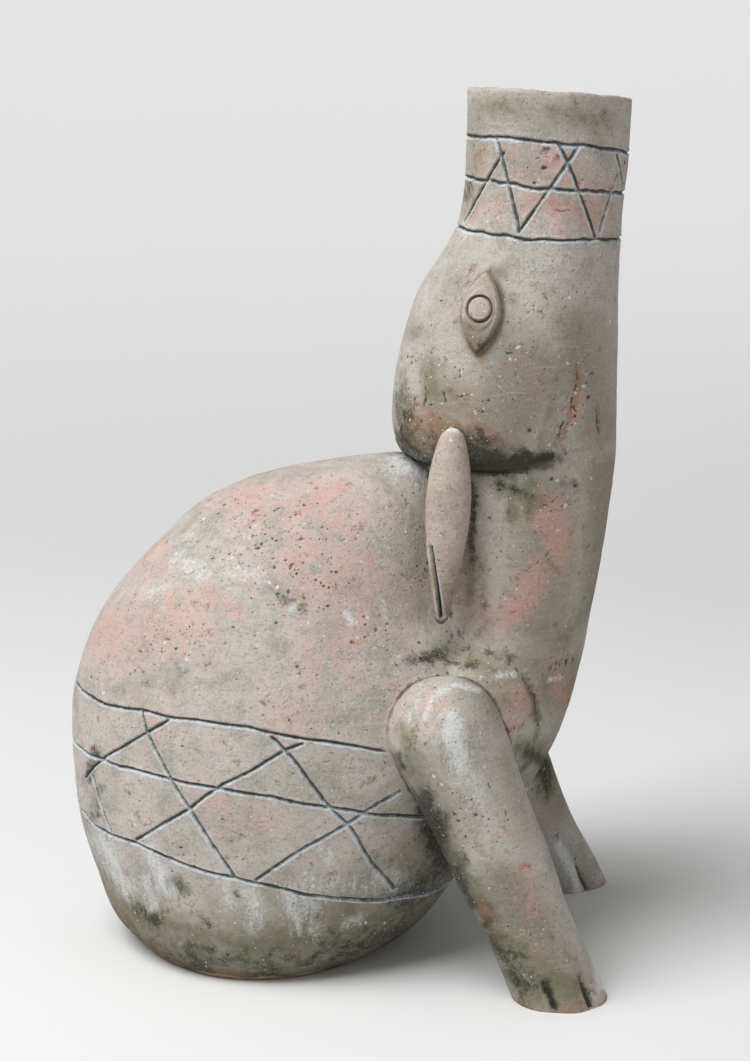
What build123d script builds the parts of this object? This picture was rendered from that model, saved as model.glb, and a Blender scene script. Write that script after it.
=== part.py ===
from build123d import *
from math import cos, radians, sin
import os

# A hand-built clay vessel in the shape of a sitting animal with its head thrown back.
# Sizes in millimetres, angles in degrees. The animal looks along +X, its left is +Y, +Z is up.
# The origin is on the floor, in the middle of the length and of the width.

# Body: a closed egg of clay on a flat slab, built up in rings
body_height = 233.0
body_length = 217.6
body_half_width = 88.0
body_rear = -130.6
body_wall = 8.0
slab_thickness = 9.0
bowl_seam = 52.0
belly_seam = 96.0
shoulder_seam = 150.0

# Neck and breast: the rear of the neck is placed along the body, its top just under the back's
neck_place_share = 0.7776
neck_sink = 2.0
neck_foot = 78.0
neck_depth = 87.7
neck_half_width = 41.0
neck_wall = 8.0
passage_foot = 104.0
breast_radius = 25.5
breast_reach = 29.4
breast_spread = 3.0
breast_height = 121.5

# Head: a swelling that overhangs the back of the neck
head_height = 106.0
head_overhang = 15.6
head_depth = 104.0
head_half_width = 50.0
head_wall = 8.0

# Muzzle: a plain tube with a rim that falls towards the throat
spout_height = 60.2
spout_setback = 13.4
spout_depth = 75.0
spout_lean = 4.4
spout_wall = 6.0
rim_round = 1.6
rim_slope = 3.5

# Forelegs: solid rolls of clay, round at the shoulder and cut flat at the sole
# A reach is measured forwards from the rear of the neck, a tuck inwards from the widest side
right_shoulder_reach = 14.9
left_shoulder_reach = 8.4
shoulder_tuck = 16.0
shoulder_height = 120.5
shoulder_radius = 24.6
knee_radius = 22.0
ankle_radius = 19.2
sole_radius = 20.0
sole_reach = 66.9
sole_tuck = 15.0
sole_round = 2.0
knee_share = 0.45
ankle_share = 0.80
toe_groove_radius = 1.5
toe_groove_length = 17.0
toe_turns = (-110.0, -57.0, 57.0)

# Ears: rolled leaves with a slit towards the tip
ear_length = 89.0
ear_width = 20.0
ear_thickness = 14.0
ear_top_reach = 15.9
ear_tip_reach = 10.9
ear_tuck = 2.5
ear_rise = 21.0
slit_length = 27.0
slit_width = 1.8
slit_depth = 4.0
slit_lean = 5.0
slit_place_share = 0.80

# Eyes: almond pads pressed on the head, each with a round pellet in a pocket
eye_length = 36.0
eye_width = 16.5
eye_proud = 5.0
eye_root = 8.0
eye_round = 1.8
eye_reach = 28.4
eye_tuck = 6.4
eye_rise = 72.5
pupil_radius = 5.4
pupil_groove = 0.7
pupil_pocket = 2.2
pupil_proud = 0.9
pupil_round = 0.7
eye_turn = 15.0
eye_tilt = 7.0
eye_lean = 5.0

# Points that each ring is drawn through
ring_points = 12

# Rings as shares of a form: height, rear and front along its length, and half width
body_shares = (
    (0.000, 0.173, 0.700, 0.800),
    (0.025, 0.122, 0.755, 0.860),
    (0.064, 0.081, 0.801, 0.905),
    (0.115, 0.058, 0.842, 0.940),
    (0.215, 0.022, 0.910, 0.975),
    (0.335, 0.003, 0.965, 0.998),
    (0.425, 0.000, 0.991, 1.000),
    (0.511, 0.006, 1.000, 0.983),
    (0.597, 0.031, 0.973, 0.932),
    (0.682, 0.074, 0.899, 0.855),
    (0.790, 0.167, 0.844, 0.720),
    (0.884, 0.272, 0.830, 0.545),
    (0.940, 0.380, 0.826, 0.400),
    (0.972, 0.494, 0.821, 0.280),
    (0.991, 0.605, 0.806, 0.165),
    (1.000, 0.676, 0.777, 0.080),
)
neck_shares = (
    (0.000, 0.000, 0.533, 0.860),
    (0.110, 0.000, 0.666, 0.940),
    (0.220, 0.000, 0.755, 1.000),
    (0.330, 0.000, 0.816, 1.020),
    (0.440, 0.000, 0.860, 1.020),
    (0.550, 0.000, 0.892, 1.010),
    (0.660, 0.000, 0.928, 1.005),
    (0.770, 0.000, 0.955, 1.000),
    (0.880, 0.000, 0.978, 1.000),
    (1.000, 0.000, 1.000, 1.000),
)
head_shares = (
    (0.045, 0.050, 0.995, 0.915),
    (0.110, 0.015, 0.995, 0.970),
    (0.210, 0.000, 0.993, 1.000),
    (0.340, 0.008, 0.991, 1.000),
    (0.470, 0.030, 0.990, 0.975),
    (0.620, 0.070, 0.990, 0.930),
    (0.745, 0.122, 0.992, 0.880),
    (0.870, 0.200, 0.996, 0.815),
)
spout_shares = (
    (0.180, -0.019, 0.944, 0.970),
    (0.520, -0.001, 0.971, 0.974),
    (1.000, 0.004, 0.992, 0.985),
    (1.100, 0.004, 0.994, 0.988),
)
ear_shares = (
    (0.000, 0.28, 0.35),
    (0.030, 0.48, 0.60),
    (0.110, 0.68, 0.84),
    (0.230, 0.88, 0.96),
    (0.360, 0.99, 1.00),
    (0.490, 0.97, 0.98),
    (0.630, 0.84, 0.90),
    (0.770, 0.65, 0.78),
    (0.890, 0.48, 0.64),
    (0.970, 0.36, 0.48),
    (1.000, 0.18, 0.24),
)

neck_top = body_height - neck_sink
neck_height = neck_top - neck_foot
neck_rear = body_rear + body_length * neck_place_share
head_rear = neck_rear - head_overhang
head_top = neck_top + head_height
spout_rear = neck_rear + spout_setback
spout_front = spout_rear + spout_depth


def ring(height, rear, front, half_width, inset=0.0):
    """One level ring, an ellipse from rear to front at its height, drawn in by the inset."""
    middle = (rear + front) / 2
    reach = (front - rear) / 2 - inset
    side = half_width - inset
    turns = [radians(360.0 * step / ring_points) for step in range(ring_points)]
    with BuildSketch(Plane.XY.offset(height)) as level_ring:
        with BuildLine():
            Spline(*[(middle + reach * cos(turn), side * sin(turn)) for turn in turns], periodic=True)
        make_face()
    return level_ring.sketch


def rings(shares, bottom, height, rear, depth, half_width, inset=0.0):
    """All rings of a form, from its shares and its overall sizes."""
    return [
        ring(
            bottom + height * height_share,
            rear + depth * rear_share,
            rear + depth * front_share,
            half_width * width_share,
            inset,
        )
        for height_share, rear_share, front_share, width_share in shares
    ]


def neck_ring(inset=0.0):
    """The ring that the neck and the head share."""
    return ring(neck_top, neck_rear, neck_rear + neck_depth, neck_half_width, inset)


def head_rings(inset=0.0):
    """The rings of the head between the neck and the muzzle."""
    return rings(head_shares, neck_top, head_height, head_rear, head_depth, head_half_width, inset)


def spout_ring(inset=0.0):
    """The ring that the head and the muzzle share."""
    return ring(head_top, spout_rear, spout_front, spout_depth / 2, inset)


def spout_rings(inset=0.0):
    """The rings of the muzzle above the head."""
    return rings(
        spout_shares, head_top, spout_height, spout_rear + spout_lean, spout_depth, spout_depth / 2, inset
    )


# Full forms and their hollows, from which the pieces are cut
with BuildPart() as body_form:
    loft(rings(body_shares, 0, body_height, body_rear, body_length, body_half_width))

with BuildPart() as body_hollow:
    loft(
        rings(
            body_shares,
            slab_thickness,
            body_height - body_wall - slab_thickness,
            body_rear + body_wall,
            body_length - 2 * body_wall,
            body_half_width - body_wall,
        )
    )

breast_x = neck_rear + breast_reach
breast_y = neck_half_width + breast_spread
with BuildPart() as neck_form:
    loft(rings(neck_shares, neck_foot, neck_height, neck_rear, neck_depth, neck_half_width))
    with Locations((breast_x, breast_y, breast_height), (breast_x, -breast_y, breast_height)):
        Sphere(breast_radius)

with BuildPart() as neck_hollow:
    loft(
        rings(
            neck_shares,
            passage_foot,
            neck_top - passage_foot,
            neck_rear,
            neck_depth,
            neck_half_width,
            neck_wall,
        )
    )

with BuildPart() as head_form:
    loft([neck_ring(), *head_rings(), spout_ring()])

with BuildPart() as head_hollow:
    loft([neck_ring(neck_wall), *head_rings(head_wall), spout_ring(spout_wall)])

# Body pieces: the slab, three rings of wall, and the dome that closes the back behind the neck
with BuildPart() as base_slab:
    add(body_form.part)
    split(bisect_by=Plane.XY.offset(slab_thickness), keep=Keep.BOTTOM)

with BuildPart() as body_wall_form:
    add(body_form.part)
    add(body_hollow.part, mode=Mode.SUBTRACT)

with BuildPart() as rump_bowl:
    add(body_wall_form.part)
    split(bisect_by=Plane.XY.offset(slab_thickness), keep=Keep.TOP)
    split(bisect_by=Plane.XY.offset(bowl_seam), keep=Keep.BOTTOM)

with BuildPart() as belly_ring:
    add(body_wall_form.part)
    split(bisect_by=Plane.XY.offset(bowl_seam), keep=Keep.TOP)
    split(bisect_by=Plane.XY.offset(belly_seam), keep=Keep.BOTTOM)

with BuildPart() as shoulder_ring:
    add(body_wall_form.part)
    split(bisect_by=Plane.XY.offset(belly_seam), keep=Keep.TOP)
    split(bisect_by=Plane.XY.offset(shoulder_seam), keep=Keep.BOTTOM)
    add(neck_hollow.part, mode=Mode.SUBTRACT)

with BuildPart() as back_dome:
    add(body_wall_form.part)
    split(bisect_by=Plane.XY.offset(shoulder_seam), keep=Keep.TOP)
    add(neck_form.part, mode=Mode.SUBTRACT)
    add(head_form.part, mode=Mode.SUBTRACT)

# Neck, head and muzzle, one on another; the neck's foot is trimmed to the rings that it sits on
with BuildPart() as ringed_form:
    add(body_form.part)
    split(bisect_by=Plane.XY.offset(shoulder_seam), keep=Keep.BOTTOM)

with BuildPart() as neck_column:
    add(neck_form.part)
    add(neck_hollow.part, mode=Mode.SUBTRACT)
    add(body_hollow.part, mode=Mode.SUBTRACT)
    add(ringed_form.part, mode=Mode.SUBTRACT)

with BuildPart() as head_bulb:
    add(head_form.part)
    add(head_hollow.part, mode=Mode.SUBTRACT)

rim_plane = Plane(
    origin=(spout_rear + spout_lean + spout_depth / 2, 0, head_top + spout_height),
    z_dir=(sin(radians(rim_slope)), 0, cos(radians(rim_slope))),
)
with BuildPart() as muzzle_spout:
    loft([spout_ring(), *spout_rings()])
    loft([spout_ring(spout_wall), *spout_rings(spout_wall)], mode=Mode.SUBTRACT)
    split(bisect_by=rim_plane, keep=Keep.BOTTOM)
    fillet(muzzle_spout.faces().sort_by(Axis.Z)[-1].edges(), rim_round)


def leg_roll(side, shoulder_reach):
    """A whole foreleg, turned about the line from its shoulder to its sole, with grooves between toes."""
    shoulder = Vector(
        neck_rear + shoulder_reach, side * (body_half_width - shoulder_tuck), shoulder_height
    )
    sole = Vector(neck_rear + sole_reach, side * (body_half_width - sole_tuck), 0)
    leg = sole - shoulder
    leg_plane = Plane(origin=shoulder, x_dir=leg, z_dir=leg.cross(Vector(0, 0, 1)))
    foot_plane = Plane(origin=sole, x_dir=(1, 0, 0), z_dir=-leg)
    with BuildPart() as roll:
        with BuildSketch(leg_plane):
            with BuildLine():
                CenterArc((0, 0), shoulder_radius, 90, 90)
                flank = Spline(
                    (0, shoulder_radius),
                    (leg.length * knee_share, knee_radius),
                    (leg.length * ankle_share, ankle_radius),
                    (leg.length + sole_radius, sole_radius),
                    tangents=((1, 0), (1, 0)),
                )
                Polyline(flank @ 1, (leg.length + sole_radius, 0), (-shoulder_radius, 0))
            make_face()
        revolve(axis=Axis(shoulder, leg))
        split(bisect_by=Plane.XY, keep=Keep.TOP)
        fillet(roll.faces().sort_by(Axis.Z)[0].edges(), sole_round)
        for turn in toe_turns:
            outward = Vector(cos(radians(turn)), -side * sin(radians(turn)), 0)
            with Locations(foot_plane.location * Location(outward * sole_radius)):
                Cylinder(toe_groove_radius, 2 * toe_groove_length, mode=Mode.SUBTRACT)
    return roll.part


# Ears: leaves of clay hung from the head, tip down
ear_top = Vector(neck_rear + ear_top_reach, ear_tuck - head_half_width, neck_top + ear_rise)
ear = Vector(ear_tip_reach - ear_top_reach, 0, -ear_length)
slit_place = ear_top + ear * slit_place_share - Vector(0, ear_thickness / 2, 0)


def ear_ring(length_share, width_share, thickness_share):
    """One oval across the ear, part of the way down it."""
    with BuildSketch(Plane(origin=ear_top + ear * length_share, x_dir=(1, 0, 0), z_dir=ear)) as oval:
        Ellipse(ear_width / 2 * width_share, ear_thickness / 2 * thickness_share)
    return oval.sketch


with BuildPart() as ear_leaf:
    loft([ear_ring(*shares) for shares in ear_shares])
    with Locations(Location(slit_place, (0, -slit_lean, 0))):
        Box(slit_width, 2 * slit_depth, slit_length, mode=Mode.SUBTRACT)

# Eyes: the pad's plane lies on the head, its z axis points outwards and its y axis up the almond
eye_plane = Plane(
    origin=(neck_rear + eye_reach, eye_tuck - head_half_width, neck_top + eye_rise),
    x_dir=(cos(radians(eye_turn)), -sin(radians(eye_turn)), 0),
    z_dir=(
        -sin(radians(eye_turn)) * cos(radians(eye_tilt)),
        -cos(radians(eye_turn)) * cos(radians(eye_tilt)),
        sin(radians(eye_tilt)),
    ),
).rotated((0, 0, -eye_lean))
with BuildPart() as eye_pad:
    with BuildSketch(eye_plane.offset(-eye_root)):
        with BuildLine():
            ThreePointArc((0, eye_length / 2), (eye_width / 2, 0), (0, -eye_length / 2))
            ThreePointArc((0, eye_length / 2), (-eye_width / 2, 0), (0, -eye_length / 2))
        make_face()
    extrude(amount=eye_root + eye_proud)
    fillet(eye_pad.faces().sort_by(Axis.Y)[0].edges(), eye_round)
    with BuildSketch(eye_plane.offset(eye_proud)):
        Circle(pupil_radius + pupil_groove)
    extrude(amount=-pupil_pocket, mode=Mode.SUBTRACT)

with BuildPart() as right_pupil:
    with BuildSketch(eye_plane.offset(eye_proud - pupil_pocket)):
        Circle(pupil_radius)
    extrude(amount=pupil_pocket + pupil_proud)
    fillet(right_pupil.faces().sort_by(Axis.Y)[0].edges(), pupil_round)

# Both sides: each is trimmed where it meets the clay behind it
with BuildPart() as right_foreleg:
    add(leg_roll(-1, right_shoulder_reach))
    add(body_form.part, mode=Mode.SUBTRACT)
    add(neck_form.part, mode=Mode.SUBTRACT)

with BuildPart() as left_foreleg:
    add(leg_roll(1, left_shoulder_reach))
    add(body_form.part, mode=Mode.SUBTRACT)
    add(neck_form.part, mode=Mode.SUBTRACT)

with BuildPart() as right_ear:
    add(ear_leaf.part)
    add(head_form.part, mode=Mode.SUBTRACT)
    add(neck_form.part, mode=Mode.SUBTRACT)
    add(body_form.part, mode=Mode.SUBTRACT)

with BuildPart() as left_ear:
    mirror(ear_leaf.part, about=Plane.XZ)
    add(head_form.part, mode=Mode.SUBTRACT)
    add(neck_form.part, mode=Mode.SUBTRACT)
    add(body_form.part, mode=Mode.SUBTRACT)

with BuildPart() as right_eye:
    add(eye_pad.part)
    add(head_form.part, mode=Mode.SUBTRACT)

with BuildPart() as left_eye:
    mirror(eye_pad.part, about=Plane.XZ)
    add(head_form.part, mode=Mode.SUBTRACT)

with BuildPart() as left_pupil:
    mirror(right_pupil.part, about=Plane.XZ)

base_slab.part.label = "base_slab"
rump_bowl.part.label = "rump_bowl"
belly_ring.part.label = "belly_ring"
shoulder_ring.part.label = "shoulder_ring"
back_dome.part.label = "back_dome"
neck_column.part.label = "neck_column"
head_bulb.part.label = "head_bulb"
muzzle_spout.part.label = "muzzle_spout"
right_foreleg.part.label = "right_foreleg"
left_foreleg.part.label = "left_foreleg"
right_ear.part.label = "right_ear"
left_ear.part.label = "left_ear"
right_eye.part.label = "right_eye"
left_eye.part.label = "left_eye"
right_pupil.part.label = "right_pupil"
left_pupil.part.label = "left_pupil"

os.makedirs("parts", exist_ok=True)
for piece in (
    base_slab,
    rump_bowl,
    belly_ring,
    shoulder_ring,
    back_dome,
    neck_column,
    head_bulb,
    muzzle_spout,
    right_foreleg,
    left_foreleg,
    right_ear,
    left_ear,
    right_eye,
    left_eye,
    right_pupil,
    left_pupil,
):
    export_step(piece.part, f"parts/{piece.part.label}.step")
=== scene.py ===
from math import cos, pi, radians, sin, tan

import bmesh
import bpy
import mathutils
import numpy as np
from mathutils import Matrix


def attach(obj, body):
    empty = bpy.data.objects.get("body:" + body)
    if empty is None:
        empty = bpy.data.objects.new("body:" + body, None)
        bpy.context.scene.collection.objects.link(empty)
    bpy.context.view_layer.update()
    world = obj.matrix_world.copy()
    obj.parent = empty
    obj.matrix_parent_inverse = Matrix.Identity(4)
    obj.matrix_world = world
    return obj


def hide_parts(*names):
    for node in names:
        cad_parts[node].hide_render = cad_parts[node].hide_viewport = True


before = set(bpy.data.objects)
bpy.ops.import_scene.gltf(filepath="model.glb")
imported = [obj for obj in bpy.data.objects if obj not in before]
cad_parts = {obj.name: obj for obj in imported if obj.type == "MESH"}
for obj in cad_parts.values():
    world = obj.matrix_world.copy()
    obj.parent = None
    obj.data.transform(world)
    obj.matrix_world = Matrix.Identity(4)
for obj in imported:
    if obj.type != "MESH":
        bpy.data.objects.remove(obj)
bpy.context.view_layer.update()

# Lengths below are in millimetres and become metres when a mesh is made.
# The animal looks along +X, its right side, which the camera sees, is -Y, and +Z is up.
# A turn of 0 degrees points to the throat and -90 to the right side. Of the sides, -1 is right and 1 left.
MILLIMETRE = 0.001
SIDES = (-1, 1)

# The photo's size and focal length in its own pixels, the place and aim of the camera that took it, and where
# along a ray from it the clay is looked for.
photo_wide, photo_high, focal_pixels = 750, 1061, 1984
camera_turn, camera_dip = radians(6), radians(10.6)
camera_reach, camera_high, aim_ahead = 917.0, 368.0, 15.0
camera_right = np.array([cos(camera_turn), sin(camera_turn), 0.0])
camera_level = np.array([-sin(camera_turn), cos(camera_turn), 0.0])
camera_place = np.array([aim_ahead, 0.0, camera_high]) - camera_reach * camera_level
camera_ahead = cos(camera_dip) * camera_level - sin(camera_dip) * np.array([0.0, 0.0, 1.0])
camera_up = np.cross(camera_right, camera_ahead)
ray_start, ray_end, ray_steps = 700, 1100, 2001


# Numbers that look random but are the same on every run

def lattice(cells, seed):
    """A number from 0 to 1 for each whole-numbered cell: its three indices times large numbers, folded."""
    mixed = cells[..., 0] * 374761393 + cells[..., 1] * 668265263 + cells[..., 2] * 1103515245 + seed * 362437
    mixed = mixed & 0xFFFFFFFF
    mixed = ((mixed ^ (mixed >> 13)) * 1274126177) & 0xFFFFFFFF
    mixed = mixed ^ (mixed >> 16)
    return (mixed & 0xFFFFFF) / 0xFFFFFF


def swell(points, size, seed):
    """Smooth noise from -1 to 1: numbers at the corners of cells of the given size, eased by 3t^2 - 2t^3."""
    spot = points / size
    cell = np.floor(spot).astype(np.int64)
    share = spot - cell
    share = share * share * (3 - 2 * share)
    total = np.zeros(points.shape[:-1])
    for corner in np.ndindex(2, 2, 2):
        part = np.where(np.array(corner) == 1, share, 1 - share).prod(axis=-1)
        total += part * lattice(cell + np.array(corner), seed)
    return 2 * total - 1


def swells(points, size, seed):
    """Three layers of smooth noise, each half as wide and half as high as the one before."""
    return sum(swell(points, size / 2**k, seed + k) / 2**k for k in range(3))


def stray(points, size, seed, ways=3):
    """Smooth noise of its own in each of the ways that points can be moved."""
    return np.stack([swell(points, size, seed + k) for k in range(ways)], -1)


def pits(points, size, chance, least, most, seed):
    """
    Depth from 0 to 1 of round pits, one per cell by chance: 1 less the squared distance over the squared
    radius.
    """
    cell = np.floor(points / size).astype(np.int64)
    deepest = np.zeros(points.shape[:-1])
    for step in np.ndindex(3, 3, 3):
        near = cell + np.array(step) - 1
        middle = (near + np.stack([lattice(near, seed + k) for k in range(3)], -1)) * size
        radius = least + (most - least) * lattice(near, seed + 3) ** 2
        apart = ((points - middle) ** 2).sum(-1) / radius**2
        deepest = np.maximum(deepest, np.where(lattice(near, seed + 4) < chance, 1 - apart, 0))
    return deepest


def ease(value, low, high):
    """0 below low, 1 above high, and 3t^2 - 2t^3 between them."""
    share = np.clip((value - low) / (high - low), 0, 1)
    return share * share * (3 - 2 * share)


def bell(value, reach):
    """
    e to the minus squared ratio of value and reach: 1 at 0, 0.37 at the reach, next to nothing at two
    reaches.
    """
    return np.exp(-((value / reach) ** 2))


def bowl(value, reach):
    """One less the squared ratio of value and reach, and 0 past the reach."""
    return np.clip(1 - (value / reach) ** 2, 0, 1)


# Forms of clay

def cubic(knots, values, places):
    """
    The natural cubic through values at the knots, read at the places: second slopes solve the three-term
    rule.
    """
    step = np.diff(knots)
    rise = np.diff(values, axis=0) / step[:, None]
    size = len(knots)
    terms = np.eye(size)
    sums = np.zeros_like(values)
    inner = np.arange(1, size - 1)
    terms[inner, inner - 1] = step[:-1]
    terms[inner, inner] = 2 * (step[:-1] + step[1:])
    terms[inner, inner + 1] = step[1:]
    sums[1:-1] = 6 * np.diff(rise, axis=0)
    bend = np.linalg.solve(terms, sums)
    k = np.clip(np.searchsorted(knots, places) - 1, 0, size - 2)
    left, right, wide = (places - knots[k])[:, None], (knots[k + 1] - places)[:, None], step[k][:, None]
    return (
        (bend[k] * right**3 + bend[k + 1] * left**3) / (6 * wide)
        + (values[k] / wide - bend[k] * wide / 6) * right
        + (values[k + 1] / wide - bend[k + 1] * wide / 6) * left
    )


class Rings:
    """A stack of level ellipses. Each row holds a height, the rear, the front and the half width."""

    fine_rows = 1500
    end_reach = 9.0
    nudge = 0.4

    def __init__(self, rows):
        rows = np.array(rows, float)
        knots = np.concatenate([[0], np.cumsum(np.abs(np.diff(rows, axis=0)).max(axis=1))])
        self.rows = cubic(knots, rows, np.linspace(0, knots[-1], self.fine_rows))
        self.rows[:, 0] = np.maximum.accumulate(self.rows[:, 0])
        walk = np.linalg.norm(np.diff(self.rows[:, :2], axis=0), axis=1)
        self.walk = np.concatenate([[0], np.cumsum(walk)])

    def walk_at(self, height):
        """Length along the rear outline, from the lowest ring up to a height."""
        return np.interp(height, self.rows[:, 0], self.walk)

    def height_at(self, walk):
        """The height that a walk up the rear outline comes to."""
        return np.interp(walk, self.walk, self.rows[:, 0])

    def lay(self, walk, turn):
        """Points on the rings: middle plus half depth times cosine, half width times sine, and the height."""
        height, rear, front, wide = (np.interp(walk, self.walk, self.rows[:, k]) for k in range(4))
        x = (rear + front) / 2 + (front - rear) / 2 * np.cos(turn)
        return np.stack(np.broadcast_arrays(x, wide * np.sin(turn), height), -1)

    def lay_at(self, height, turn):
        """Points on the rings at a height."""
        return self.lay(self.walk_at(height), turn)

    def level(self, points):
        """The points' heights, kept between the lowest ring and the highest."""
        return np.clip(points[..., 2], self.rows[0, 0], self.rows[-1, 0])

    def shares(self, points):
        """
        How far points are from the middle of the ellipse at their height, in half depths and half widths.
        """
        level = self.level(points)
        rear, front, wide = (np.interp(level, self.rows[:, 0], self.rows[:, k]) for k in (1, 2, 3))
        return (2 * points[..., 0] - rear - front) / (front - rear), points[..., 1] / wide

    def ratio(self, points):
        """The ellipse's own ratio at a point's height, less one; the height past the end rings adds to it."""
        beyond = np.abs(points[..., 2] - self.level(points))
        return np.hypot(*self.shares(points)) - 1 + beyond / self.end_reach

    def seen(self, places):
        """
        Where the camera's rays through places in the photo first enter the form, each as a turn in degrees
        and a height. A ray that misses gives the place where it passes nearest.
        """
        over = (np.array(places, float) - (photo_wide / 2, photo_high / 2)) / focal_pixels
        ray = camera_ahead + over[:, :1] * camera_right - over[:, 1:] * camera_up
        spots = camera_place + np.linspace(ray_start, ray_end, ray_steps)[:, None, None] * ray
        ratio = self.ratio(spots)
        first = np.where((ratio < 0).any(axis=0), (ratio < 0).argmax(axis=0), ratio.argmin(axis=0))
        spots = spots[first, np.arange(len(ray))]
        along, across = self.shares(spots)
        return list(zip(np.degrees(np.arctan2(across, along)), spots[:, 2]))

    def off(self, points):
        """
        Distance outside the form and its unit slope: the ratio over the size of its change per millimetre.
        """
        here = self.ratio(points)
        steps = self.nudge * np.eye(3)
        change = np.stack([self.ratio(points + step) - here for step in steps], -1) / self.nudge
        size = np.linalg.norm(change, axis=-1)
        return here / size, change / size[..., None]


class Roll:
    """A straight roll of clay about a line, whose radius changes along it."""

    overrun = 1.3

    def __init__(self, start, end, shares, radii):
        self.start, self.end = np.array(start, float), np.array(end, float)
        self.run = self.end - self.start
        self.length = np.linalg.norm(self.run)
        self.shares, self.radii = shares, radii

    def radius(self, share):
        """The radius at a share of the length, by an eased step from each named radius to the next."""
        k = np.clip(np.searchsorted(self.shares, share) - 1, 0, len(self.shares) - 2)
        low, high = np.take(self.shares, k), np.take(self.shares, k + 1)
        here, there = np.take(self.radii, k), np.take(self.radii, k + 1)
        return here + (there - here) * ease((share - low) / (high - low), 0, 1)

    def off(self, points):
        """Distance outside the roll and its unit slope: the distance from the line, less the radius there."""
        share = np.clip((points - self.start) @ self.run / self.length**2, 0, self.overrun)
        away = points - self.start - share[..., None] * self.run
        size = np.linalg.norm(away, axis=-1) + 1e-9
        return size - self.radius(share), away / size[..., None]


def shares_to_rows(shares, bottom, height, rear, depth, half_width, inset=0.0):
    """Rows of heights, rears, fronts and half widths from shares of a form's sizes, drawn in by the inset."""
    shares = np.array(shares)
    return np.column_stack([
        bottom + height * shares[:, 0],
        rear + depth * shares[:, 1] + inset,
        rear + depth * shares[:, 2] - inset,
        half_width * shares[:, 3] - inset,
    ])


# The forms' outlines, as shares of a form's height, depth from its rear (rear and front) and half width.
body_shares = (
    (0.000, 0.173, 0.700, 0.800), (0.025, 0.122, 0.755, 0.860), (0.064, 0.081, 0.801, 0.905),
    (0.115, 0.058, 0.842, 0.940), (0.215, 0.022, 0.910, 0.975), (0.335, 0.003, 0.965, 0.998),
    (0.425, 0.000, 0.991, 1.000), (0.511, 0.006, 1.000, 0.983), (0.597, 0.031, 0.973, 0.932),
    (0.682, 0.074, 0.899, 0.855), (0.790, 0.167, 0.844, 0.720), (0.884, 0.272, 0.830, 0.545),
    (0.940, 0.380, 0.826, 0.400), (0.972, 0.494, 0.821, 0.280), (0.991, 0.605, 0.806, 0.165),
    (1.000, 0.676, 0.777, 0.080),
)
neck_shares = (
    (0.000, 0.000, 0.533, 0.860), (0.110, 0.000, 0.666, 0.940), (0.220, 0.000, 0.755, 1.000),
    (0.330, 0.000, 0.816, 1.020), (0.440, 0.000, 0.860, 1.020), (0.550, 0.000, 0.892, 1.010),
    (0.660, 0.000, 0.928, 1.005), (0.770, 0.000, 0.955, 1.000), (0.880, 0.000, 0.978, 1.000),
    (1.000, 0.000, 1.000, 1.000),
)
head_shares = (
    (0.045, 0.050, 0.995, 0.915), (0.110, 0.015, 0.995, 0.970), (0.210, 0.000, 0.993, 1.000),
    (0.340, 0.008, 0.991, 1.000), (0.470, 0.030, 0.990, 0.975), (0.620, 0.070, 0.990, 0.930),
    (0.745, 0.122, 0.992, 0.880), (0.870, 0.200, 0.996, 0.815),
)
muzzle_shares = (
    (0.000, -0.059, 0.941, 1.000), (0.180, -0.019, 0.944, 0.970), (0.520, -0.001, 0.971, 0.974),
    (1.000, 0.004, 0.992, 0.985), (1.100, 0.004, 0.994, 0.988),
)
wall, lip_wall = 8.0, 6.0
slab_top, neck_top = 9.0, 231.0

# Each form's lowest height, its own height, its rear, its depth and its half width.
body_sizes = (0.0, 233.0, -130.6, 217.6, 88.0)
hollow_sizes = (slab_top, 216.0, -122.6, 201.6, 80.0)
neck_sizes = (78.0, 153.0, 38.6, 87.7, 41.0)
passage_sizes = (104.0, 127.0, 38.6, 87.7, 41.0)
head_sizes = (neck_top, 106.0, 23.0, 104.0, 50.0)
muzzle_sizes = (337.0, 60.2, 56.4, 75.0, 37.5)

# The neck's column goes on straight inside the head, so that the throat can run on from it.
column_rows = ((252.0, 38.6, 126.4, 41.0), (300.0, 38.6, 126.4, 41.0))


def head_rings(inset, lip_inset):
    """Rows from the neck's top ring over the head to the muzzle's rim."""
    return np.vstack([
        shares_to_rows(neck_shares[-1:], *neck_sizes, inset),
        shares_to_rows(head_shares, *head_sizes, inset),
        shares_to_rows(muzzle_shares, *muzzle_sizes, lip_inset),
    ])


body = Rings(shares_to_rows(body_shares, *body_sizes))
body_hollow = Rings(shares_to_rows(body_shares, *hollow_sizes))
neck = Rings(np.vstack([shares_to_rows(neck_shares, *neck_sizes), column_rows]))
neck_hollow = Rings(shares_to_rows(neck_shares, *passage_sizes, wall))
head = Rings(head_rings(0.0, 0.0))
head_hollow = Rings(head_rings(wall, lip_wall))

# A breast is a ball: a roll that is next to no length. A foreleg is a roll from the shoulder to the floor.
breast_ahead, breast_aside, breast_low, breast_high, breast_radius = 68.0, 44.0, 121.4, 121.6, 25.5
leg_shares, leg_radii = (0.0, 0.45, 0.80, 1.00, 1.30), (24.6, 22.0, 19.2, 20.0, 20.0)
breasts = {
    side: Roll(
        (breast_ahead, breast_aside * side, breast_low),
        (breast_ahead, breast_aside * side, breast_high),
        (0.0, 1.0),
        (breast_radius, breast_radius),
    )
    for side in SIDES
}
legs = {
    -1: Roll((53.5, -72.0, 120.5), (105.5, -73.0, 0.0), leg_shares, leg_radii),
    1: Roll((47.0, 72.0, 120.5), (105.5, 73.0, 0.0), leg_shares, leg_radii),
}
both_breasts = [breasts[side] for side in SIDES]
both_legs = [legs[side] for side in SIDES]


# The smear where two forms are joined: its least width, how much wider it gets on the breast, how near the
# forms have to be, and how far one form's skin may dip under the other's.
smear_least, smear_more, smear_near, dip_most = 3, 26, 34, -4.0


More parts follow.
